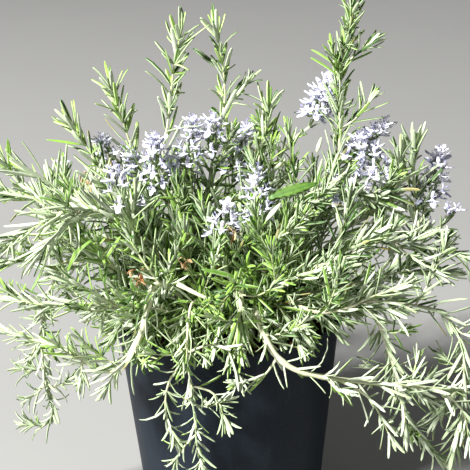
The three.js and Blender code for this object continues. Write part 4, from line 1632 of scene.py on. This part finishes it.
@dataclass
class Flower:
    """A two-lipped flower along +Y, in millimetres: calyx, tube, lips and two arched stamens.

    The calyx and the tube are rings, each with its place along and its radius. A stamen is how far
    aside it ends and how far out of the throat. Its path is at shares of its length, each with a
    radius.
    """

    calyx: Outline = ((0.0, 0.5), (1.6, 1.25), (4.6, 1.75))
    tube: Outline = ((3.4, 0.85), (6.6, 1.15), (8.2, 1.9))
    sides: int = 6
    mouth: float = 7.4
    lobes: tuple[Lobe, ...] = (
        Lobe(6.6, 2.2, 0.3, 1.6, 60, 17, 0.9),
        Lobe(6.6, 2.2, 0.3, 1.6, 60, -17, 0.9),
        Lobe(8.0, 4.2, 1.3, 1.2, -50, 0, -0.7),
        Lobe(7.0, 1.9, 0.4, 0.8, -10, 56, -0.2),
        Lobe(7.0, 1.9, 0.4, 0.8, -10, -56, -0.2),
    )
    petal_thickness: float = 0.35
    petal_grain: float = 8.0
    stamens: Outline = ((1.4, 6.6), (-1.4, 6.2))
    stamen_path: Outline = ((0.0, 0.32), (0.35, 0.26), (0.7, 0.22), (0.92, 0.5), (1.0, 0.4))
    stamen_sides: int = 3
    throat: float = 7.0

    def round_part(self, bm: BMesh, profile: Outline, part: Part) -> None:
        """Adds a round solid along +Y, through rings of this profile."""
        rings = [
            [point * MM for point in round_ring(Vector((0.0, along, 0.0)), RIGHT, UP, radius, self.sides)]
            for along, radius in profile
        ]
        self.mark(bm, ringed(bm, rings), part)

    def mark(self, bm: BMesh, rings: list[list[BMVert]], part: Part) -> None:
        """Gives new faces their finish, and their points their grain."""
        grain = bm.verts.layers.float_vector["grain"]
        for ring in rings:
            for vertex in ring:
                vertex[grain] = vertex.co
                for face in vertex.link_faces:
                    face.material_index = part.value

    def petal(self, bm: BMesh, lobe: Lobe) -> None:
        """Adds a lobe: a grid that is given its form and its thickness."""
        one = new_bmesh()
        bmesh.ops.create_grid(one, x_segments=2, y_segments=3, size=0.5)
        for vertex in one.verts:
            vertex.co = lobe.point(vertex.co.x, vertex.co.y + 0.5)
        bmesh.ops.solidify(one, geom=one.faces[:], thickness=self.petal_thickness)
        grain = one.verts.layers.float_vector["grain"]
        for vertex in one.verts:
            vertex[grain] = (vertex.co + Vector((0.0, self.petal_grain, 0.0))) * MM
        bmesh.ops.transform(one, matrix=Matrix.Scale(MM, 4) @ lobe.place(self.mouth), verts=one.verts[:])
        paint(one, Part.PETAL.value)
        mesh = bpy.data.meshes.new("petal")
        one.to_mesh(mesh)
        one.free()
        bm.from_mesh(mesh)
        bpy.data.meshes.remove(mesh)

    def stamen(self, bm: BMesh, aside: float, reach: float) -> None:
        """Adds an arched stamen with its head.

        Args:
            bm: The flower's bmesh.
            aside: How far its end stands to one side, in millimetres.
            reach: How far it stands out of the throat.
        """
        path = [Vector((aside * share, self.throat + reach * share, 1.0 + 5.2 * share - 2.6 * share**3))
                for share, _ in self.stamen_path]
        rings = []
        for i, (_, radius) in enumerate(self.stamen_path):
            ahead = (path[min(i + 1, len(path) - 1)] - path[max(i - 1, 0)]).normalized()
            side = ahead.cross(RIGHT).normalized()
            ring = round_ring(path[i], side, ahead.cross(side), radius, self.stamen_sides)
            rings.append([point * MM for point in ring])
        self.mark(bm, ringed(bm, rings), Part.STAMEN)

    def pattern(self) -> Pattern:
        """The whole flower."""
        bm = new_bmesh()
        self.round_part(bm, self.calyx, Part.CALYX)
        self.round_part(bm, self.tube, Part.PETAL)
        for lobe in self.lobes:
            self.petal(bm, lobe)
        for aside, reach in self.stamens:
            self.stamen(bm, aside, reach)
        return Pattern.of(bm)


@dataclass
class Cluster:
    """Flowers round a slim stalk at a twig's end, and beside the twig for some way below it.

    The solid shows fewer and plainer florets.
    """

    name: str
    florets: int
    twig: Branch
    below: float
    flower: Pattern
    room: Room
    stalk_length: float = 0.004
    stalk_per_floret: float = 0.0034
    stalk_radius: float = 0.0011
    gap: float = 0.0003
    stalk_sides: int = 6
    foot_stalk: float = 0.0035
    flower_size: tuple[float, float] = (0.95, 1.25)
    flower_length: float = 0.016
    lift: float = 0.12

    def count(self) -> int:
        """How many flowers stand for the solid's florets."""
        return self.florets**2 + 2 * self.florets - 2

    def flowers(self, count: int, reach: float, draw: random.Random) -> list[Stamp]:
        """Places the flowers, the lowest ones leaning out the most.

        Args:
            count: How many there are.
            reach: How far they go past the twig's end.
            draw: The random draw.

        Returns:
            A stamp for each one that has room.
        """
        tip, growth, side = self.twig.at(self.twig.length)
        stamps = []
        for i in range(count):
            share = (i + 0.5) / count
            out = spoke(growth, side, i * GOLDEN + count)
            tilt = 1.45 - 1.3 * share**1.4 + draw.gauss(0, 0.16)
            along = (leaning(growth, out, tilt) + UP * self.lift).normalized()
            across = along.cross(UP + growth * 0.4).normalized()
            root = tip + growth * (reach * share - self.below * (1 - share)) + along * self.foot_stalk
            size = draw.uniform(*self.flower_size)
            if self.room.free(root + along * self.flower_length * size):
                stamps.append(Stamp(root, stamp_frame(across, along), (size,) * 3, tone=draw.random()))
        return stamps

    def build(self, finishes: list[Material], *nodes: str) -> None:
        """Makes the cluster.

        Args:
            finishes: The petals', the calyx's and the stamens' materials.
            nodes: The nodes that it stands for.
        """
        draw = random.Random(self.name)
        tip, growth, _ = self.twig.at(self.twig.length)
        start = tip + growth * self.gap
        length = self.stalk_length + self.stalk_per_floret * self.florets
        stalk = Branch([start, start + growth * length * 0.5, start + growth * length],
                       (self.stalk_radius, self.stalk_radius * 0.6), 0.0, (0.2, 0.0))
        bm = new_bmesh()
        stalk.tube(bm, self.stalk_sides, draw)
        paint(bm, Part.CALYX.value)
        gathering = Gathering()
        gathering.add_bmesh(bm)
        gathering.stamp(self.flower, self.flowers(self.count(), length, draw))
        dress(gathering.build(self.name, finishes), "bloom", *nodes)


# ---------- the plant ----------


@dataclass
class Wood:
    """Thickness, bareness and age of stems, side shoots and twigs.

    The leaves of a side shoot are short where it isn't longer than long_shoot.
    """

    root: float = 0.0024
    tip: float = 0.0007
    shoot: float = 0.0012
    shoot_tip: float = 0.0006
    twig: float = 0.0009
    bare_stem: float = 0.046
    bare_shoot: float = 0.007
    ages: tuple[float, float] = (0.9, 0.0)
    old_ages: tuple[float, float] = (0.38, 0.15)
    shoot_ages: tuple[float, float] = (0.35, 0.0)
    twig_ages: tuple[float, float] = (0.3, 0.0)
    sides: int = 8
    shoot_sides: int = 6
    long_shoot: float = 0.04


@dataclass
class Filling:
    """The short side shoots that fill the plant: where along a stem they start, and how long.

    Felted is their share of the stem's leaves that turn the felt side to the light.
    """

    first: float = 0.042
    pitch: float = 0.0235
    longest: float = 0.062
    shortest: float = 0.022
    ahead: float = 0.6
    aside: float = 0.8
    up: float = 0.34
    lift: float = 0.22
    attempts: int = 6
    next_try: float = 0.9
    felted: float = 0.25


@dataclass
class Skirt:
    """The low shoots at a stem's foot that lean out over the rim."""

    least_radius: float = 0.028
    count: int = 3
    first: float = 0.032
    pitch: float = 0.007
    spread: float = 0.5
    length: tuple[float, float] = (0.052, 0.078)
    rise: tuple[float, float] = (0.018, 0.034)
    fall: tuple[float, float] = (-0.006, 0.016)


@dataclass
class Fan:
    """The bunch of long leaves at a stem's last bend, as its crown's sizes."""

    length: float = 0.039
    width: float = 0.0036
    spread: float = 0.06
    count: int = 12
    back: float = 0.026
    facing: int = -1


@dataclass
class LeafyStem:
    """One stem with its side shoots, twigs and leaves."""

    number: int
    plan: StemPlan
    room: Room
    leaf: Leaf
    pattern: Pattern
    wood: Wood = field(default_factory=Wood)
    filling: Filling = field(default_factory=Filling)
    skirt: Skirt = field(default_factory=Skirt)
    fan: Fan = field(default_factory=Fan)
    below_stem: float = 0.008
    below_shoot: float = 0.024
    seed: int = 100
    clusters: list[tuple[int, Branch, float]] = field(default_factory=list)
    singles: list[Branch] = field(default_factory=list)

    def main_branch(self) -> Branch:
        """The stem itself."""
        plan, wood = self.plan, self.wood
        route = [(*plan.root, STEM_FOOT), (*plan.root, STEM_COLLAR), *plan.route]
        corners = [Vector(point) * MM for point in route]
        radii = (wood.root * plan.girth, wood.tip * plan.girth)
        return Branch(corners, radii, wood.bare_stem, wood.old_ages if plan.old else wood.ages, plan.taper)

    def side_branch(self, main: Branch, plan: ShootPlan) -> Branch:
        """A side shoot, from the place on the stem that is nearest to its first point."""
        corners = [Vector(point) * MM for point in plan.route]
        corners[0] = main.at(main.nearest(corners[0]))[0]
        wood = self.wood
        return Branch(corners, (wood.shoot, wood.shoot_tip), wood.bare_shoot, wood.shoot_ages)

    def twig(self, corners: list[Vector]) -> Branch | None:
        """A twig through three points, or nothing where one of them isn't free."""
        if not all(self.room.free(point) for point in corners[1:]):
            return None
        wood = self.wood
        return Branch(corners, (wood.twig, wood.shoot_tip), wood.bare_shoot, wood.twig_ages)

    def filling_twigs(self, main: Branch, draw: random.Random) -> list[Branch]:
        """Short side shoots along the stem, each turned until it is clear.

        Args:
            main: The stem.
            draw: The random draw.

        Returns:
            The shoots.
        """
        plan, twigs = self.filling, []
        distance, turn = plan.first, draw.uniform(0, 2 * math.pi)
        while distance < main.length * self.plan.bushy:
            share = distance / main.length
            root, growth, side = main.at(distance)
            length = plan.longest + (plan.shortest - plan.longest) * share
            length *= draw.uniform(0.7, 1.15) * self.plan.reach
            for _ in range(plan.attempts):
                heading = growth * plan.ahead + spoke(growth, side, turn) * plan.aside + UP * plan.up
                tip = root + heading * length + UP * (length * plan.lift)
                twig = self.twig([root, root + heading * (length / 2), tip])
                if twig:
                    twigs.append(twig)
                    break
                turn += plan.next_try
            turn += GOLDEN
            distance += plan.pitch / self.plan.filling * draw.uniform(0.8, 1.2)
        return twigs

    def skirt_twigs(self, main: Branch, draw: random.Random) -> list[Branch]:
        """Low shoots from the stem's foot out over the rim."""
        plan, twigs = self.skirt, []
        foot = Vector((*self.plan.root, 0.0)) * MM
        if foot.length < plan.least_radius:
            return twigs
        for number in range(plan.count):
            root = main.at(plan.first + plan.pitch * number)[0]
            out = Matrix.Rotation(draw.uniform(-plan.spread, plan.spread), 3, "Z") @ foot.normalized()
            length = draw.uniform(*plan.length)
            middle = root + out * (length / 2) + UP * draw.uniform(*plan.rise)
            twig = self.twig([root, middle, root + out * length + UP * draw.uniform(*plan.fall)])
            if twig:
                twigs.append(twig)
        return twigs

    def build(self, finishes: list[Material]) -> None:
        """Makes the stem.

        Args:
            finishes: The wood's and the leaves' materials.
        """
        plan, wood, fan = self.plan, self.wood, self.fan
        draw = random.Random(self.seed + self.number)
        main = self.main_branch()
        foliage = Foliage(self.room, self.leaf, draw, plan, plan.felted)
        bm = new_bmesh()
        main.tube(bm, wood.sides, draw)
        foliage.clothe(main, plan.habit, plan.florets > 0)
        if plan.fan:
            foliage.crown(main, fan.length, fan.width, fan.spread, fan.count, fan.back, fan.facing)
        if plan.florets:
            self.clusters.append((plan.florets, main, self.below_stem))
        for shoot_plan in plan.shoots:
            shoot = self.side_branch(main, shoot_plan)
            shoot.tube(bm, wood.shoot_sides, draw)
            habit = shoot_plan.habit if shoot.length > wood.long_shoot else Habit.SHORT
            foliage.clothe(shoot, habit, shoot_plan.florets > 0)
            if shoot_plan.florets:
                self.clusters.append((shoot_plan.florets, shoot, self.below_shoot))
            if shoot_plan.single:
                self.singles.append(shoot)
        foliage.felted *= self.filling.felted
        for twig in self.filling_twigs(main, draw) + self.skirt_twigs(main, draw):
            twig.tube(bm, wood.shoot_sides, draw)
            foliage.clothe(twig, Habit.SHORT)
        gathering = Gathering()
        gathering.add_bmesh(bm)
        gathering.stamp(self.pattern, foliage.stamps)
        piece = gathering.build(f"rosemary_stem_{self.number:02d}", finishes)
        log.info("stem %d: %d leaves", self.number, len(foliage.stamps))
        dress(piece, "leafy_stem", f"leafy_stem_{self.number:02d}")


@dataclass
class Plant:
    """All stems and flower clusters."""

    room: Room
    leaf: Leaf = field(default_factory=Leaf)
    flower: Flower = field(default_factory=Flower)

    def build(self) -> None:
        """Makes the stems, and then the clusters in the order of the stems."""
        pattern = self.leaf.pattern()
        finishes = [StemFinish().material(), LeafFinish().material()]
        stems = [LeafyStem(i, plan, self.room, self.leaf, pattern) for i, plan in enumerate(STEMS, 1)]
        for stem in stems:
            stem.build(finishes)
        flower = self.flower.pattern()
        petals = [PetalFinish().material(), CalyxFinish().material(), StamenFinish().material()]
        clusters = [cluster for stem in stems for cluster in stem.clusters]
        for number, (florets, twig, below) in enumerate(clusters, 1):
            cluster = Cluster(f"flowers_{number:02d}", florets, twig, below, flower, self.room)
            cluster.build(petals, f"bloom_{number:02d}")
        singles = [single for stem in stems for single in stem.singles]
        for number, twig in enumerate(singles, 1):
            Cluster(f"single_flowers_{number:02d}", 1, twig, 0.0, flower, self.room).build(petals)


@dataclass(frozen=True)
class StrayPlan:
    """A single leaf of another size: its foot, tip and width in millimetres, and its bend.

    Its upper side looks to its face.
    """

    foot: Point
    tip: Point
    width: float
    bend: float = 0.0
    tone: float = 0.3
    face: Point = (0, -1, 1)


@dataclass
class Strays:
    """The odd broad leaves among the needles, a bare stub and the withered leaves."""

    broad: tuple[StrayPlan, ...] = (
        StrayPlan((12, -117, 270), (-22, -117, 280), 5.5, 0.5, 0.7),
        StrayPlan((-112, -100, 304), (-144, -98, 257), 5.5, 1.9, 0.6, (-0.8, -0.7, 0.5)),
        StrayPlan((-104, -76, 323), (-161, -76, 333), 6.0, 0.2, face=(0, 1, -1)),
        StrayPlan((36, -54, 300), (50, -54, 317), 5.0, -0.2, face=(0, 1, -1)),
        StrayPlan((57, -123, 222), (72, -123, 229), 4.5, 0.2, face=(0, 1, -1)),
        StrayPlan((86, 10, 344), (91, 10, 359), 4.2, 0.1, face=(0, 1, -1)),
        StrayPlan((-202, 24, 324), (-203, 26, 361), 5.0, 0.1, 0.6),
        StrayPlan((-130, 0, 360), (-164, 0, 366), 3.2, 0.15),
    )
    toothed: StrayPlan = StrayPlan((39, -52, 321), (84, -45, 332), 13.0, 0.3, 0.72)
    stub: tuple[Point, ...] = ((-2, -110, 246), (-17, -113, 251), (-43, -105, 262))
    stub_radii: tuple[float, float] = (0.0012, 0.0023)
    stub_ages: tuple[float, float] = (0.2, 0.3)
    stub_sides: int = 8
    withered: tuple[Point, ...] = (
        (-130, -2, 334), (-125, -4, 324), (-78, -104, 274), (-77, -106, 266), (-38, -76, 274),
        (8, -66, 294), (-8, -58, 262),
    )
    flat_section: tuple[Point, ...] = (
        (-0.5, 0.2, 0.3), (-0.25, 0.35, 0.0), (0.0, -0.1, 0.0), (0.25, 0.35, 0.0), (0.5, 0.2, 0.3),
        (0.3, -0.1, 1.0), (0.0, -0.5, 1.0), (-0.3, -0.1, 1.0),
    )
    oval: Outline = (
        (0.0, 0.2), (0.12, 0.6), (0.4, 1.0), (0.7, 0.85), (0.9, 0.5), (1.0, 0.12),
    )
    teeth: Outline = (
        (0.0, 0.15), (0.1, 0.48), (0.13, 0.36), (0.24, 0.8), (0.27, 0.6), (0.38, 1.0), (0.41, 0.78),
        (0.52, 1.0), (0.55, 0.76), (0.66, 0.88), (0.69, 0.64), (0.8, 0.64), (0.83, 0.42), (0.91, 0.36),
        (1.0, 0.05),
    )
    thickness: float = 0.9
    twist: float = 0.2
    bits: int = 6
    bit_scatter: float = 2.0
    bit_width: tuple[float, float] = (2.2, 4)
    bit_length: tuple[float, float] = (6, 12)
    bit_bend: tuple[float, float] = (0.4, 1.8)
    seed: int = 31

    def leaf(self, outline: Outline, finish: int) -> Pattern:
        """A flat leaf with this outline."""
        return Leaf(section=self.flat_section, outline=outline, finish=finish).pattern()

    def stamp_of(self, plan: StrayPlan) -> Stamp:
        """The stamp of a stray leaf.

        Args:
            plan: The leaf.

        Returns:
            The stamp. It starts off turned by half its bend, so that its tip is in its place.
        """
        foot, tip = Vector(plan.foot) * MM, Vector(plan.tip) * MM
        chord = (tip - foot).normalized()
        across = chord.cross(Vector(plan.face)).normalized()
        along = Matrix.Rotation(plan.bend / 2, 3, across) @ chord
        size = (plan.width * MM, (tip - foot).length, self.thickness * MM)
        return Stamp(foot, stamp_frame(across, along), size, plan.bend, self.twist, plan.tone)

    def bit(self, place: Point, draw: random.Random) -> Stamp:
        """One withered leaf of a bunch of them at a place."""
        root = Vector([number * MM + draw.gauss(0, self.bit_scatter * MM) for number in place])
        turn = Matrix.Rotation(draw.uniform(0, 2 * math.pi), 3, "Z")
        tilt = Matrix.Rotation(draw.uniform(-1.4, 1.4), 3, "X")
        size = (draw.uniform(*self.bit_width) * MM, draw.uniform(*self.bit_length) * MM,
                self.thickness * MM)
        bend = draw.uniform(*self.bit_bend)
        return Stamp(root, turn @ tilt, size, bend, draw.uniform(-1, 1), draw.random())

    def build(self) -> None:
        """Makes the broad leaves with the stub, and the withered leaves."""
        draw = random.Random(self.seed)
        broad, toothed, wood = range(3)
        green = Gathering()
        green.stamp(self.leaf(self.oval, broad), [self.stamp_of(plan) for plan in self.broad])
        green.stamp(self.leaf(self.teeth, toothed), [self.stamp_of(self.toothed)])
        stub = Branch([Vector(point) * MM for point in self.stub], self.stub_radii, 0.0, self.stub_ages)
        bm = new_bmesh()
        stub.tube(bm, self.stub_sides, draw)
        paint(bm, wood)
        green.add_bmesh(bm)
        finishes = [LeafFinish("broad_leaf", 2.0).material(), LeafFinish("toothed_leaf", 5.0).material(),
                    StemFinish().material()]
        dress(green.build("broad_leaves", finishes), "leafy_stem")
        dry = Gathering()
        dry.stamp(self.leaf(self.oval, 0), [self.bit(place, draw) for place in self.withered * self.bits])
        dress(dry.build("withered_leaves", [DryFinish().material()]), "leafy_stem")


# ---------- the studio ----------


@dataclass(frozen=True)
class Lamp:
    """A square soft light that looks at the plant.

    It has a place, the length of its side in metres, its power in watts and a tint.
    """

    name: str
    place: Point
    side: float
    power: float
    tint: Point

    def hang(self, target: Vector) -> None:
        """Hangs the lamp, turned to the target."""
        data = bpy.data.lights.new(self.name, "AREA")
        data.size, data.energy, data.color = self.side, self.power, self.tint
        lamp = new_object(self.name, data)
        lamp.location = self.place
        lamp.rotation_euler = (target - lamp.location).to_track_quat("-Z", "Y").to_euler()


@dataclass
class Studio:
    """A plain pale floor, soft lights and the camera at the photograph's angle."""

    target: Vector = field(default_factory=lambda: Vector((0.0084, 0.0, 0.268)))
    distance: float = 1.3
    elevation: float = math.radians(20)
    roll: float = math.radians(-1.4)
    focal_pixels: float = 1375.7
    image_pixels: int = 470
    sensor: float = 36.0
    clip: tuple[float, float] = (0.05, 40.0)
    floor_radius: float = 9.0
    floor_sides: int = 96
    lamps: tuple[Lamp, ...] = (
        Lamp("key", (-3.6, -2.7, 4.1), 0.8, 1140, (0.985, 0.99, 0.98)),
        Lamp("fill", (3.4, -3.2, 2.0), 2.4, 10, (0.85, 0.93, 1.0)),
        Lamp("rim", (1.2, 3.4, 3.0), 1.6, 20, (1.0, 1.0, 1.0)),
    )
    surroundings: Colour = (0.78, 0.79, 0.8, 1.0)
    surroundings_strength: float = 0.1

    def floor(self) -> None:
        """Lays the floor."""
        bm = bmesh.new()
        bmesh.ops.create_circle(bm, cap_ends=True, radius=self.floor_radius, segments=self.floor_sides)
        floor = from_bmesh("studio_floor", bm, FloorFinish().material())

    def lights(self) -> None:
        """Hangs the lamps, and sets the pale surroundings."""
        for lamp in self.lamps:
            lamp.hang(self.target)
        world = bpy.data.worlds.new("surroundings")
        world.use_nodes = True
        background = world.node_tree.nodes["Background"]
        background.inputs["Color"].default_value = self.surroundings
        background.inputs["Strength"].default_value = self.surroundings_strength
        bpy.context.scene.world = world

    def camera(self) -> None:
        """Sets the camera up."""
        data = bpy.data.cameras.new("photo_camera")
        data.sensor_width = self.sensor
        data.lens = self.focal_pixels / self.image_pixels * self.sensor
        data.clip_start, data.clip_end = self.clip
        camera = new_object("photo_camera", data)
        back = Vector((0.0, -math.cos(self.elevation), math.sin(self.elevation)))
        place = self.target + back * self.distance
        look = (-back).to_track_quat("-Z", "Y").to_matrix().to_4x4()
        camera.matrix_world = Matrix.Translation(place) @ look @ Matrix.Rotation(self.roll, 4, "Z")
        bpy.context.scene.camera = camera

    def build(self) -> None:
        """Makes the studio."""
        self.camera()
        self.floor()
        self.lights()
        bpy.context.scene.view_settings.view_transform = "Standard"


def main() -> None:
    Studio().build()
    pot = Pot()
    pot.build()
    PottingMix(pot).build()
    Plant(Room(pot)).build()
    Strays().build()
    bpy.context.view_layer.update()


if __name__ == "__main__":
    main()
